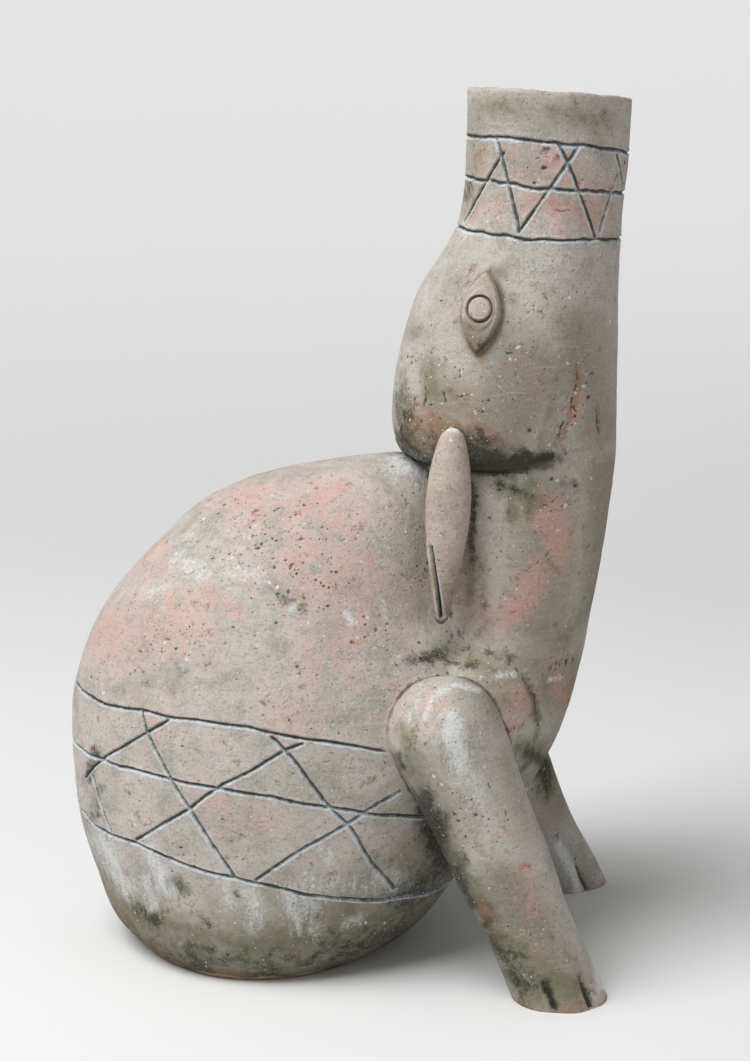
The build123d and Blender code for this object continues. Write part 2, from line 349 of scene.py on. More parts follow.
def luting(points):
    """How widely the clay of two forms is smeared together: little in most places, and much on the breast."""
    low = ease(178 - points[..., 2], 0, 36)
    front = ease(points[..., 0], 50, 72) * ease(62 - np.abs(points[..., 1]), 0, 16)
    return smear_least + smear_more * low * front


def lute(points, own, others, soft=()):
    """
    Moves a form's points on to the skin that it shares with its neighbours. With t the distance to the
    nearest neighbour less that to the own form, and w the luting's width, the skin stands w/4 (1 - |t|/w)^2
    off the nearer form. Past t = 0 the points follow it less 3 t^2 / w, so they dip under the neighbour's own
    skin. Returns the points and t for the neighbours that leave a joint, which the soft ones don't.
    """
    moved = points.copy()
    apart = np.full(points.shape[:-1], 99.0)
    close = np.min([other.off(points)[0] for other in (*others, *soft)], axis=0) < smear_near
    spots = points[close]
    for _ in range(8):
        here, slope = own.off(spots)
        hard = np.min([other.off(spots)[0] for other in others], axis=0) - here
        t = np.minimum(hard, np.min([other.off(spots)[0] for other in soft], axis=0) - here) if soft else hard
        wide = luting(spots)
        skin = wide / 4 * np.clip(1 - np.abs(t) / wide, 0, 1) ** 2
        dip = np.where(t < 0, -t - 3 * t * t / wide, 0)
        level = np.maximum(skin + dip, dip_most)
        spots = spots + 0.6 * (level - here)[..., None] * slope
    moved[close] = spots
    apart[close] = hard
    return moved, apart


# The eye's plane: its middle on the head, the way it faces, and the ways across and along its almond.
eye_middle = np.array([67.0, -43.6, 303.5])
turned, tilted, leaned = radians(15), radians(7), radians(-5)
eye_out = np.array([-sin(turned) * cos(tilted), -cos(turned) * cos(tilted), sin(tilted)])
eye_flat = np.array([cos(turned), -sin(turned), 0.0])
eye_up = np.cross(eye_out, eye_flat)
eye_across = cos(leaned) * eye_flat + sin(leaned) * eye_up
eye_along = -sin(leaned) * eye_flat + cos(leaned) * eye_up

# The almond: half its length and width, the radius of its two arcs, and how far it hangs below the pupil.
almond_length, almond_half, almond_curve, almond_drop = 18.0, 8.25, 23.76, 1.6


# Marks left by hand, fire and age, and painted shade and painted highlights, placed on the photo. Each has a
# radius in the photo's pixels, a strength, and then how far across and down in the photo its place is, or the
# places of its run.
salmon_runs = (
    (60, 0.55, (250, 500), (330, 520)), (46, 0.70, (180, 620), (112, 640)),
    (56, 0.65, (300, 560), (360, 590)), (50, 0.55, (330, 650), (390, 610)), (34, 0.60, (150, 560)),
    (44, 0.45, (300, 720)), (46, 0.45, (150, 720)), (34, 0.50, (400, 705)),
    (12, 0.95, (306, 506), (342, 488)), (9, 0.90, (262, 490), (240, 505)), (12, 0.80, (106, 620), (122, 642)),
    (13, 0.70, (205, 592), (236, 612)), (13, 0.75, (350, 548), (372, 560)),
    (14, 1.00, (543, 516), (560, 556)), (18, 0.75, (548, 500), (562, 530)),
    (16, 0.90, (540, 570), (516, 612)), (20, 0.70, (500, 625), (478, 600)), (18, 0.80, (520, 700)),
    (14, 0.60, (562, 690), (548, 664)), (12, 0.60, (584, 640)), (22, 0.80, (590, 190), (600, 216)),
    (18, 0.90, (536, 200), (562, 212)), (13, 0.80, (502, 216)), (18, 0.60, (540, 150), (572, 166)),
    (20, 0.60, (424, 424)), (10, 0.70, (580, 395), (572, 420)), (15, 0.50, (470, 345)),
    (17, 0.80, (428, 700)), (12, 0.60, (446, 706)), (12, 0.60, (525, 870), (535, 905)),
    (10, 0.50, (505, 830)), (14, 0.80, (582, 830), (600, 884)), (26, 0.50, (200, 800), (260, 820)),
    (28, 0.50, (500, 165), (600, 195)), (10, 0.70, (504, 700), (512, 726)), (8, 0.80, (556, 690), (566, 700)),
    (16, 0.60, (498, 205), (560, 222)), (12, 0.50, (480, 160), (476, 215)),
)
# Browner clay, partly painted shade on the sides turned from the light, such as the neck's right edge, the
# breast and the lower foreleg.
brown_and_shade_runs = (
    (50, 1.00, (525, 375), (500, 425)), (34, 0.80, (455, 400), (420, 440)),
    (36, 0.75, (575, 330), (594, 430)), (46, 0.75, (545, 500), (540, 640)),
    (26, 0.80, (604, 470), (600, 610)), (40, 0.90, (500, 685), (590, 680)),
    (34, 1.00, (505, 890), (560, 985)), (18, 0.35, (420, 750), (462, 880)),
    (28, 0.45, (495, 112), (590, 118)), (34, 0.70, (250, 945), (400, 905)),
    (24, 0.60, (110, 905), (200, 955)), (26, 0.70, (410, 860), (440, 820)),
    (30, 0.90, (560, 810), (585, 870)), (24, 0.35, (470, 250), (440, 330)),
    (16, 0.60, (455, 480), (462, 620)), (26, 0.35, (500, 760), (530, 840)),
    (20, 0.50, (500, 150), (590, 215)), (18, 1.00, (612, 470), (606, 620)),
    (30, 0.50, (560, 430), (590, 470)),
)
# Smoke from the firing, and painted shadow: under the head's fold, beside the ear, between the foreleg and
# the body, and along the bowl's foot.
soot_and_shadow_runs = (
    (8, 1.10, (450, 459), (474, 464)), (13, 1.30, (476, 458), (498, 461)), (8, 1.20, (500, 462), (528, 460)),
    (5, 1.00, (528, 460), (552, 456)), (10, 0.85, (403, 438), (424, 464)), (8, 0.80, (426, 461), (450, 466)),
    (7, 0.55, (402, 372), (403, 430)), (6, 0.70, (474, 484), (472, 560)), (8, 0.70, (412, 660), (446, 652)),
    (6, 0.60, (446, 662), (476, 668)), (5, 0.50, (486, 652), (520, 656)), (15, 1.10, (424, 800), (440, 862)),
    (7, 0.80, (430, 800), (446, 842)), (8, 0.75, (456, 868), (470, 905)), (8, 0.75, (487, 925), (500, 952)),
    (10, 0.90, (506, 958), (526, 986)), (6, 0.90, (546, 985), (553, 1006)),
    (4, 0.80, (589, 990), (592, 1004)), (22, 0.80, (404, 900), (440, 868)), (12, 0.55, (90, 930), (200, 958)),
    (15, 0.65, (200, 964), (330, 964)), (18, 0.60, (330, 958), (400, 925)), (7, 0.80, (88, 778), (97, 756)),
    (8, 0.60, (92, 820), (98, 790)), (5, 0.60, (466, 200), (470, 180)), (10, 0.80, (552, 812), (562, 852)),
    (5, 0.55, (497, 660), (508, 664)), (5, 0.50, (240, 836), (228, 842)), (6, 0.45, (300, 925), (318, 920)),
    (7, 0.60, (170, 880), (162, 892)), (6, 0.50, (268, 588), (292, 602)), (5, 0.50, (178, 664), (184, 672)),
    (6, 0.60, (562, 482), (575, 484)), (9, 1.00, (404, 452), (430, 466)), (5, 0.70, (398, 756), (402, 768)),
    (5, 0.70, (412, 790), (418, 800)), (5, 0.80, (430, 818), (440, 834)), (6, 0.60, (448, 850), (460, 872)),
    (7, 0.45, (176, 880), (187, 892)), (6, 0.50, (135, 905), (150, 920)), (12, 0.60, (400, 400), (412, 440)),
    (7, 0.55, (425, 425), (440, 446)), (8, 0.90, (528, 752), (548, 766)), (12, 0.90, (462, 438), (484, 448)),
    (13, 1.50, (478, 459), (500, 462)), (7, 1.30, (500, 463), (530, 461)), (4, 0.70, (500, 484), (532, 497)),
    (3, 0.35, (516, 668), (534, 696), (538, 720)), (5, 0.55, (505, 650), (512, 660)),
    (4, 0.50, (488, 660), (494, 676)), (3, 0.60, (548, 148), (540, 152)), (9, 0.70, (512, 958), (530, 985)),
    (10, 0.50, (415, 425), (440, 452)), (8, 0.45, (496, 440), (520, 452)), (12, 1.20, (472, 448), (494, 460)),
    (7, 0.80, (478, 432), (490, 446)), (4, 0.55, (235, 893), (239, 897)), (4, 0.50, (208, 920), (209, 926)),
    (7, 0.65, (134, 906), (158, 922)), (5, 0.60, (186, 944), (230, 955)),
)
# Olive grime, and painted shade where it lies under the head, beside the ear, on the foreleg's shaded left
# side and at the foot's bottom.
olive_grime_and_shade_runs = (
    (13, 0.50, (460, 282)), (10, 0.90, (500, 272)), (8, 0.80, (468, 325), (476, 346)), (9, 0.60, (512, 300)),
    (16, 0.80, (430, 365), (436, 392)), (14, 0.70, (414, 332)), (14, 0.60, (440, 422)),
    (13, 1.00, (503, 488), (536, 500)), (9, 0.90, (512, 480), (512, 516)), (9, 0.80, (530, 482), (528, 512)),
    (8, 0.80, (468, 490), (470, 600)), (12, 0.55, (450, 480), (452, 600)), (14, 0.60, (478, 120), (472, 200)),
    (16, 0.75, (440, 650), (482, 660)), (10, 0.70, (498, 655), (532, 662)), (12, 0.70, (505, 702)),
    (10, 0.65, (408, 730), (424, 790)), (12, 1.00, (440, 830), (476, 900)),
    (13, 1.00, (482, 910), (512, 965)), (18, 0.90, (520, 970), (572, 990)),
    (24, 0.70, (150, 920), (250, 950)), (26, 0.80, (250, 950), (390, 930)),
    (16, 0.60, (100, 880), (130, 922)), (12, 0.90, (552, 800), (565, 860)),
    (11, 0.55, (280, 590), (300, 602)), (15, 0.40, (270, 520)), (12, 0.50, (120, 690), (150, 680)),
    (16, 0.40, (330, 630)), (20, 0.50, (390, 860), (330, 900)), (10, 0.50, (184, 668), (172, 690)),
    (12, 0.60, (595, 600), (560, 648)), (13, 1.00, (430, 370), (432, 392)),
    (14, 0.90, (404, 400), (412, 440)), (10, 0.90, (500, 484), (532, 500)),
    (12, 0.90, (135, 915), (245, 945)), (10, 0.80, (404, 728), (412, 770)),
    (12, 0.80, (520, 950), (532, 985)), (5, 0.75, (516, 668), (534, 696), (539, 726), (531, 752)),
    (13, 1.00, (528, 750), (562, 768)), (14, 0.60, (478, 108), (520, 106)),
    (14, 0.55, (560, 112), (606, 122)), (10, 0.50, (548, 105), (556, 118)),
    (12, 0.60, (480, 560), (486, 640)), (10, 0.60, (592, 690), (578, 716)),
    (12, 0.50, (470, 160), (464, 210)), (14, 1.00, (504, 950), (532, 1000)),
    (14, 0.50, (320, 940), (390, 920)), (9, 0.90, (344, 903), (354, 915)), (8, 0.80, (176, 880), (184, 890)),
)
# Chalk bloom, and painted highlights: on the foreleg's shoulder and its top edge, the foot's right edge and
# the rump's upper side.
chalk_and_highlight_runs = (
    (14, 0.66, (178, 560), (202, 572)), (10, 0.50, (150, 594), (165, 588)), (9, 0.55, (190, 538)),
    (6, 0.90, (346, 614), (352, 622)), (6, 0.60, (384, 600), (386, 622)), (14, 0.70, (100, 840), (126, 890)),
    (12, 0.75, (150, 850), (166, 890)), (10, 0.60, (318, 845), (330, 858)),
    (18, 0.50, (300, 890), (400, 880)), (9, 0.45, (232, 745), (224, 764)), (13, 0.95, (452, 718), (460, 762)),
    (9, 0.60, (430, 700), (440, 690)), (12, 0.45, (470, 770), (482, 812)), (6, 1.10, (575, 915), (592, 945)),
    (6, 1.00, (594, 950), (602, 986)), (18, 0.75, (396, 462), (430, 472)), (7, 0.80, (430, 482), (444, 502)),
    (14, 0.30, (560, 440), (586, 460)), (15, 0.45, (555, 262), (528, 268)), (6, 0.50, (182, 668), (186, 660)),
    (10, 0.40, (230, 560), (260, 520)), (12, 0.45, (420, 690), (408, 720)), (9, 0.50, (500, 218), (540, 238)),
    (4.5, 0.80, (425, 718), (433, 696), (456, 684), (480, 690)), (12, 0.80, (106, 846), (120, 880)),
    (6, 0.65, (497, 677), (516, 673)), (4, 0.80, (550, 680), (560, 677)), (13, 0.50, (540, 185), (575, 192)),
    (8, 0.80, (156, 858), (162, 884)), (9, 0.60, (262, 575), (230, 572)), (5, 0.70, (290, 610), (296, 604)),
    (11, 0.75, (288, 892), (298, 926)), (8, 0.70, (146, 880), (152, 908)), (9, 0.60, (225, 882), (232, 905)),
    (9, 0.90, (450, 738), (462, 768)), (12, 0.45, (510, 215), (560, 222)), (14, 0.62, (250, 896), (256, 926)),
    (15, 0.60, (304, 898), (314, 930)), (8, 0.60, (345, 925), (360, 918)),
)
rust_runs = (
    (15, 0.90, (438, 430), (478, 440)), (11, 0.90, (470, 430), (496, 450)), (8, 0.80, (424, 404), (430, 425)),
    (9, 0.70, (408, 436), (418, 452)), (3.5, 1.00, (577, 366), (576, 400), (567, 424), (556, 444)),
    (2.5, 0.80, (597, 408), (599, 432)), (4, 0.70, (558, 373), (566, 370)), (6, 0.90, (477, 346), (482, 360)),
    (9, 0.80, (480, 900), (492, 940)), (9, 0.40, (430, 770), (445, 792)),
    (6, 0.80, (514, 1004), (560, 1013), (590, 1006)), (7, 0.40, (562, 985), (580, 985)),
    (14, 0.50, (108, 890), (130, 926)), (5, 0.60, (505, 590), (512, 596)), (5, 0.60, (548, 560), (556, 572)),
    (8, 0.50, (560, 700), (580, 680)), (12, 0.80, (420, 430), (446, 444)), (8, 0.80, (484, 446), (500, 452)),
    (10, 0.60, (470, 400), (452, 416)), (14, 0.90, (414, 424), (450, 446)),
    (10, 0.80, (474, 418), (494, 444)), (12, 0.45, (480, 150), (474, 215)),
    (4, 1.20, (150, 942), (169, 957), (200, 968), (233, 974), (287, 978)),
)
pit_runs = (
    (26, 1.00, (250, 525), (300, 545)), (28, 1.00, (290, 560), (326, 588)),
    (22, 0.90, (245, 555), (300, 592)), (20, 0.60, (345, 600), (380, 650)),
    (22, 0.80, (420, 370), (412, 424)), (22, 0.70, (470, 400), (450, 430)),
    (16, 0.90, (575, 375), (566, 430)), (20, 0.60, (520, 345)), (22, 0.60, (155, 640), (180, 642)),
    (22, 0.35, (470, 850), (452, 800)), (20, 0.30, (455, 790)), (16, 0.80, (560, 495), (550, 512)),
    (24, 0.50, (420, 560)), (16, 0.60, (430, 655), (470, 660)),
)
crack_runs = (
    (1.28, 0.90, (577, 364), (579, 378), (574, 392), (573, 404), (567, 414)),
    (1.12, 0.80, (574, 404), (577, 424)), (1.12, 0.70, (566, 418), (560, 430), (556, 441)),
    (0.96, 0.70, (596, 408), (598, 420), (599, 434)), (1.12, 0.80, (433, 346), (429, 354)),
    (1.12, 0.80, (458, 370), (459, 378)), (1.28, 0.80, (424, 384), (425, 402)),
    (1.28, 0.90, (443, 392), (445, 402)), (1.44, 0.80, (478, 411), (484, 413)),
    (1.28, 0.80, (507, 351), (515, 355)), (1.28, 0.80, (525, 306), (534, 306)),
    (1.12, 0.70, (526, 313), (532, 312)), (1.12, 0.60, (544, 296), (548, 300)),
    (1.28, 0.80, (497, 383), (501, 384)), (1.12, 0.60, (514, 374), (518, 376)),
    (0.96, 0.70, (552, 664), (550, 672)), (0.96, 0.70, (557, 661), (556, 671)),
    (0.96, 0.70, (562, 660), (560, 668)), (0.96, 0.70, (567, 659), (566, 667)),
    (0.96, 0.70, (574, 657), (572, 663)), (1.12, 0.60, (549, 674), (560, 676), (567, 672)),
    (1.12, 0.60, (520, 668), (531, 682), (536, 698)), (0.96, 0.40, (557, 985), (570, 983), (586, 984)),
    (0.96, 0.50, (526, 570), (552, 550)), (0.8, 0.50, (500, 560), (503, 520)),
    (0.8, 0.50, (491, 540), (493, 505)), (1.12, 0.60, (460, 818), (470, 822)),
    (1.12, 0.70, (484, 774), (490, 788)), (1.12, 0.60, (504, 806), (510, 824)),
    (1.12, 0.60, (224, 828), (246, 838)), (0.96, 0.60, (340, 540), (362, 538)),
    (0.96, 0.50, (348, 534), (392, 529)), (1.12, 0.70, (154, 636), (172, 640)),
    (0.96, 0.50, (556, 862), (576, 858)), (0.96, 0.60, (536, 158), (548, 157)),
    (2.24, 0.50, (516, 668), (534, 696), (539, 726), (531, 752)), (1.44, 0.80, (538, 155), (546, 154)),
    (1.28, 0.60, (508, 160), (518, 163)), (1.28, 0.60, (556, 210), (570, 211)),
)

# How many radii from a run its mark is worked out, and how far ahead and up the left side's marks are set.
run_reach = 2.2
left_ahead, left_up = 9, 7


def in_photo(points):
    """
    Where points fall in the photo, in its pixels. Points of the left side, which it doesn't show, are
    mirrored first and set a little ahead and up, so that both sides are marked and the two aren't alike.
    """
    x, y, z = np.moveaxis(points, -1, 0)
    left = ease(y, -2, 14)
    shown = np.stack([x + left_ahead * left, -np.abs(y), z + left_up * left], -1) - camera_place
    deep = shown @ camera_ahead
    across = photo_wide / 2 + focal_pixels * (shown @ camera_right) / deep
    down = photo_high / 2 - focal_pixels * (shown @ camera_up) / deep
    return np.stack([across, down], -1)


def from_stretch(points, start, end):
    """The way to each point from the nearest place of a straight stretch."""
    run = end - start
    share = np.clip((points - start) @ run / (run @ run), 0, 1)
    return points - start - share[..., None] * run


def beside(seen, places):
    """The least distance in the photo from points to the straight stretches of a run, or to its one place."""
    best = np.linalg.norm(seen - places[0], axis=-1)
    for start, end in zip(places[:-1], places[1:]):
        best = np.minimum(best, np.linalg.norm(from_stretch(seen, start, end), axis=-1))
    return best


def run_marks(seen, runs, fall):
    """
    The largest of the runs' marks at each point: a run's strength times its fall with distance and radius.
    """
    most = np.zeros(seen.shape[:-1])
    for radius, much, *places in runs:
        places = np.array(places, float)
        low, high = places.min(axis=0) - run_reach * radius, places.max(axis=0) + run_reach * radius
        near = ((seen > low) & (seen < high)).all(axis=-1)
        if near.any():
            most[near] = np.maximum(most[near], much * fall(beside(seen[near], places), radius))
    return most


def distance_to(points, line):
    """
    The least distance from points to the straight stretches of a bent line, and their height over the
    nearest.
    """
    best = np.full(points.shape[:-1], 99.0)
    over = np.zeros(points.shape[:-1])
    for start, end in zip(line[:-1], line[1:]):
        away = from_stretch(points, start, end)
        size = np.linalg.norm(away, axis=-1)
        over = np.where(size < best, away[..., 2], over)
        best = np.minimum(best, size)
    return best, over


# Lines drawn in the soft clay. Where the photo shows them they are places in it; the hidden side's, which are
# chosen to go on like them, are turns in degrees and heights.
top_line = (
    *body.seen((
        (79, 687), (106, 704), (141, 710), (179, 718), (211, 722), (248, 728), (283, 734), (318, 741),
        (353, 746), (387, 752),
    )),
    (-45, 108), (-20, 104), (0, 103), (20, 104), (45, 109), (62, 113), (75, 117), (90, 121.5), (104, 124),
    (118, 125.5), (132, 124.5), (146, 126), (162, 125), (180, 126),
)
middle_line = (
    *body.seen((
        (82, 750), (104, 760), (128, 768), (146, 773), (179, 781), (221, 789), (245, 793), (275, 797),
        (304, 804), (331, 808), (353, 811), (377, 814), (409, 817),
    )),
    (-30, 74), (0, 70), (30, 74), (52, 80), (64, 85), (76, 88), (90, 92.5), (103, 96), (120, 98.5),
    (138, 97.5), (155, 98), (180, 97),
)
bottom_line = (
    *body.seen((
        (85, 813), (95, 825), (112, 835), (138, 844), (168, 858), (189, 866), (211, 872), (235, 878),
        (262, 883), (280, 888), (307, 894), (329, 897), (358, 900), (385, 899), (406, 895), (430, 892),
    )),
    (-10, 33), (10, 33), (31, 36), (46, 39), (60, 42), (72, 46), (85, 50), (98, 54.5), (112, 59), (126, 62),
    (140, 64), (157, 66), (180, 67),
)
body_lines = (top_line, middle_line, bottom_line)
seen_body_strokes = (
    ((141, 710), (147, 732), (235, 878)),
    ((168, 720), (147, 732), (104, 757), (85, 778)),
    ((93, 776), (110, 832)),
    ((136, 841), (172, 820), (191, 808), (224, 784), (248, 773), (285, 750), (302, 744)),
    ((272, 737), (298, 765), (323, 800), (347, 825), (372, 862), (395, 888)),
    ((256, 880), (307, 846), (345, 825), (377, 803), (400, 791)),
)
hidden_body_strokes = (
    ((188, 66), (176, 90), (166, 124)),
    ((181, 125), (170, 104), (158, 84), (150, 66)),
    ((160, 66), (148, 84), (136, 104), (127, 124)),
    ((140, 125), (128, 104), (117, 82), (110, 59)),
    ((118, 61), (108, 80), (97, 102), (90, 121)),
    ((101, 123), (91, 102), (80, 78), (72, 47)),
    ((84, 50), (73, 74), (62, 95), (54, 110)),
    ((66, 114), (58, 92), (50, 66), (44, 40)),
)
body_strokes = [*map(body.seen, seen_body_strokes), *hidden_body_strokes]
muzzle_lines = (
    (
        *head.seen(((467, 136), (505, 137), (559, 143), (627, 153))),
        (30, 372), (60, 374), (90, 376), (130, 377.5), (180, 378),
    ),
    (
        *head.seen(((466, 177), (505, 183), (541, 189), (576, 190), (621, 193))),
        (20, 353), (60, 355), (100, 357), (140, 359), (180, 360),
    ),
    (
        *head.seen(((455, 225), (517, 237), (532, 240), (594, 239), (620, 239))),
        (30, 333.5), (70, 334), (110, 335), (150, 338), (180, 339),
    ),
)
muzzle_foot_line = muzzle_lines[-1]
seen_muzzle_strokes = (
    ((496, 137), (518, 232)),
    ((503, 153), (464, 222)),
    ((518, 232), (578, 147)),
    ((559, 143), (596, 236)),
    ((600, 230), (617, 174)),
    ((617, 155), (622, 185)),
)
hidden_muzzle_strokes = (
    ((190, 338), (176, 356), (160, 377)),
    ((168, 377), (152, 356), (138, 337)),
    ((140, 337), (124, 356), (110, 376)),
    ((116, 376), (100, 356), (84, 335)),
    ((88, 335), (72, 354), (58, 373)),
    ((62, 374), (46, 354), (32, 334)),
    ((34, 334), (18, 354), (6, 371)),
    ((8, 371), (-4, 352), (-14, 335)),
)
muzzle_strokes = [*map(head.seen, seen_muzzle_strokes), *hidden_muzzle_strokes]

# A drawn line's depth, half width and burr, how far a hand strays from it, and the steps between its places.
line_deep, line_half_wide, burr_high = 1.05, 0.95, 0.20
stroke_stray, ring_stray, stroke_steps = 0.6, 0.45, 14


def around(marks, turn):
    """
    A line's height at each turn, between its marked turns and heights and around the back without a step.
    """
    marked = np.array(marks)
    return np.interp(np.degrees(turn), marked[:, 0], marked[:, 1], period=360)


def waver(turn, seed):
    """How far a hand strays up or down round a ring, in shares of its most: noise read round a circle."""
    circle = 9 * np.stack([np.cos(turn), np.sin(turn), 0 * turn], -1)
    return swell(circle, 1.0, seed)


def ring_walk(form, line, turn):
    """The walk of a line drawn round a form by hand. The number of its places seeds the hand's straying."""
    return form.walk_at(around(line, turn) + ring_stray * waver(turn, len(line)))


def hand_drawn(form, strokes, seed):
    """Strokes given as turns and heights, laid on a form in short steps that stray sideways a little."""
    lines = []
    for stroke in strokes:
        marked = np.array(stroke, float)
        places = np.linspace(0, len(marked) - 1, stroke_steps * len(marked))
        turn, height = (np.interp(places, np.arange(len(marked)), marked[:, k]) for k in range(2))
        line = form.lay(form.walk_at(height), np.radians(turn))
        lines.append(line + stroke_stray * stray(line, 13.0, seed))
    return lines


def cut(apart, over, deep, half_wide):
    """
    A line drawn in leather-hard clay: the groove falls as one less the squared distance over the squared half
    width, and the clay it pushed out stands as a low burr beside it. Returns the height, and how strongly it
    is cut and where its lower lip catches pale dust.
    """
    groove = bowl(apart, half_wide)
    burr = bell(apart - 1.35 * half_wide, 0.55 * half_wide)
    chalk = np.maximum(burr, 0.8 * ease(apart, 0.1 * half_wide, 0.6 * half_wide) * (groove > 0))
    return burr_high * burr - deep * groove**0.8, groove, chalk * (over < 0)


def plain(laid, walk=None):
    """No lines: no height, nothing cut and no lip."""
    return np.zeros((3, *laid.shape[:2]))


def cuts(laid, found):
    """
    Several lines together, each uneven along it: the deepest groove and, where none is cut, the highest burr.
    """
    uneven = 1 + 0.30 * swell(laid, 12.0, 81)
    height, carved, lip = plain(laid)
    for apart, over in found:
        one, groove, burr = cut(apart + 0.22 * swell(laid, 2.2, 83), over, line_deep * uneven, line_half_wide)
        raised = np.where(height < 0, height, np.maximum(height, one))
        height = np.where(groove > 0, np.minimum(height, one), raised)
        carved, lip = np.maximum(carved, groove), np.maximum(lip, burr)
    return height, carved, lip


def drawn(form, lines, strokes=()):
    """
    What draws lines round a form, and the strokes that cross between them, on points laid at their walks.
    """

    def grooves(laid, walk):
        above = [walk - ring_walk(form, line, turns(laid.shape[1])) for line in lines]
        found = [(np.abs(over), over) for over in above]
        found += [distance_to(laid, line) for line in hand_drawn(form, strokes, 91)]
        return cuts(laid, found)

    return grooves


# Meshes

def grid_normals(points):
    """
    Unit normals of a grid whose columns close: the step along the columns crossed with the step along the
    rows.
    """
    along = np.roll(points, -1, axis=1) - np.roll(points, 1, axis=1)
    up = np.gradient(points, axis=0)
    normal = np.cross(along, up)
    return normal / (np.linalg.norm(normal, axis=-1, keepdims=True) + 1e-12)


# Two kinds of pits left by grit: the cells they lie in, the chance of one in a cell, their least and most
# radius, their depth and darkness, and their seed. They are flatter than wide, and crowd where the photo
# shows more of them.
pit_kinds = (
    (6.5, 0.07, 0.6, 1.9, 0.66, 0.8, 31),
    (3.6, 0.16, 0.4, 1.0, 0.42, 0.6, 41),
)
pit_flatness, crowding = (1, 1, 1.7), 0.8
lump_high, bump_high, dent_deep, crack_deep = 0.42, 0.16, 0.20, 0.7

# The least and the most of a swell that presses a dent.
dent_low, dent_high = 0.25, 1.2


def clay_skin(points, groove=0.0, lumps=1.0, rough=1.0, stained=1.0):
    """
    A form's surface with the unevenness of handwork added along its normals: slow swells, small dents, cracks
    and grit's pits. Groove is a height to add. Returns the points and the marks for the clay's colours, of
    which the stains, painted shadow and painted highlights are as strong as stained says. Small pieces, which
    are less stained, have few grits and less brown too.
    """
    seen = in_photo(points)
    crowd = run_marks(seen, pit_runs, bell)
    flat = points * pit_flatness + 0.5 * stray(points, 1.8, 27)
    deep, dark = 0, 0
    for cell, chance, least, most, depth, darkness, seed in pit_kinds:
        pit = pits(flat, cell, chance + crowding * crowd, least, most, seed)
        deep, dark = deep + depth * pit, dark + darkness * pit
    dents = np.clip(swells(points, 7.0, 51), dent_low, dent_high) - dent_low
    crack = run_marks(seen + 1.6 * stray(points, 2.1, 55, 2), crack_runs, bowl)
    crack = crack * ease(swell(points, 1.3, 57), -0.45, 0.35)
    normals = grid_normals(points)
    height = lumps * (lump_high * swells(points, 46.0, 61) + bump_high * swells(points, 13.0, 71))
    height = height - rough * (deep + dent_deep * dents) - crack_deep * crack
    gritty, brown = (1.0, 1.0) if stained == 1.0 else (0.2, 0.4)
    marks = {
        "pit": np.clip(np.maximum(dark * rough, crack), 0, 1),
        "crowd": gritty * crowd,
        # How much the surface faces up, which sets the painted shade on undersides.
        "facing": normals[..., 2],
        # Browner clay, partly painted shade.
        "tan": brown * run_marks(seen, brown_and_shade_runs, bell),
        "salmon": run_marks(seen, salmon_runs, bell),
    }
    # Soot with painted shadow, olive grime with painted shade, chalk with painted highlights, and rust.
    for mark, runs in (("soot_and_shadow", soot_and_shadow_runs), ("olive", olive_grime_and_shade_runs), ("pale", chalk_and_highlight_runs), ("rust", rust_runs)):
        marks[mark] = stained * run_marks(seen, runs, bell)
    return points + (height + groove)[..., None] * normals, marks


def link(thing):
    """Puts an object in the scene."""
    bpy.context.collection.objects.link(thing)
    return thing


def make(name, points, slot, marks, nodes, closed=False, keep=None, sharp=()):
    """
    Makes a piece from a grid of points whose columns close on themselves, and whose rows do too if closed is
    set. Its faces are the grid's cells, its doubled points are merged, its sharp rows keep a crisp edge, and
    its marks become float attributes.
    """
    rows, columns = points.shape[:2]
    count = rows if closed else rows - 1
    kept = np.ones((count, columns), bool) if keep is None else keep
    this, side = np.nonzero(kept)
    above, beyond = (this + 1) % rows, (side + 1) % columns
    low, high = this * columns, above * columns
    quads = np.stack([low + side, low + beyond, high + beyond, high + side], -1)
    mesh = bpy.data.meshes.new(name)
    mesh.vertices.add(rows * columns)
    mesh.vertices.foreach_set("co", (points * MILLIMETRE).astype(np.float32).ravel())
    mesh.loops.add(quads.size)
    mesh.loops.foreach_set("vertex_index", quads.astype(np.int32).ravel())
    mesh.polygons.add(len(quads))
    mesh.polygons.foreach_set("loop_start", np.arange(0, quads.size, 4, dtype=np.int32))
    for mark, values in marks.items():
        layer = mesh.attributes.new(mark, "FLOAT", "POINT")
        values = np.broadcast_to(values, (rows, columns)).astype(np.float32)
        layer.data.foreach_set("value", values.ravel())
    mesh.update(calc_edges=True)
    mesh.shade_smooth()
    ends = np.empty(2 * len(mesh.edges), np.int32)
    mesh.edges.foreach_get("vertices", ends)
    row = ends.reshape(-1, 2) // columns
    crisp = np.isin(row[:, 0], sharp) & (row[:, 0] == row[:, 1])
    mesh.attributes.new("sharp_edge", "BOOLEAN", "EDGE").data.foreach_set("value", crisp)
    piece = link(bpy.data.objects.new(name, mesh))
    shape = bmesh.new()
    shape.from_mesh(mesh)
    bmesh.ops.remove_doubles(shape, verts=shape.verts, dist=0.002 * MILLIMETRE)
    loose = [point for point in shape.verts if not point.link_faces]
    bmesh.ops.delete(shape, geom=loose, context="VERTS")
    shape.to_mesh(mesh)
    shape.free()
    mesh.materials.append(clays[slot])
    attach(piece, "root")
    if nodes:
        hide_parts(*nodes)
    return piece


def side_name(side, thing):
    """A piece's name on the left or the right."""
    return f"{'left' if side > 0 else 'right'}_{thing}"


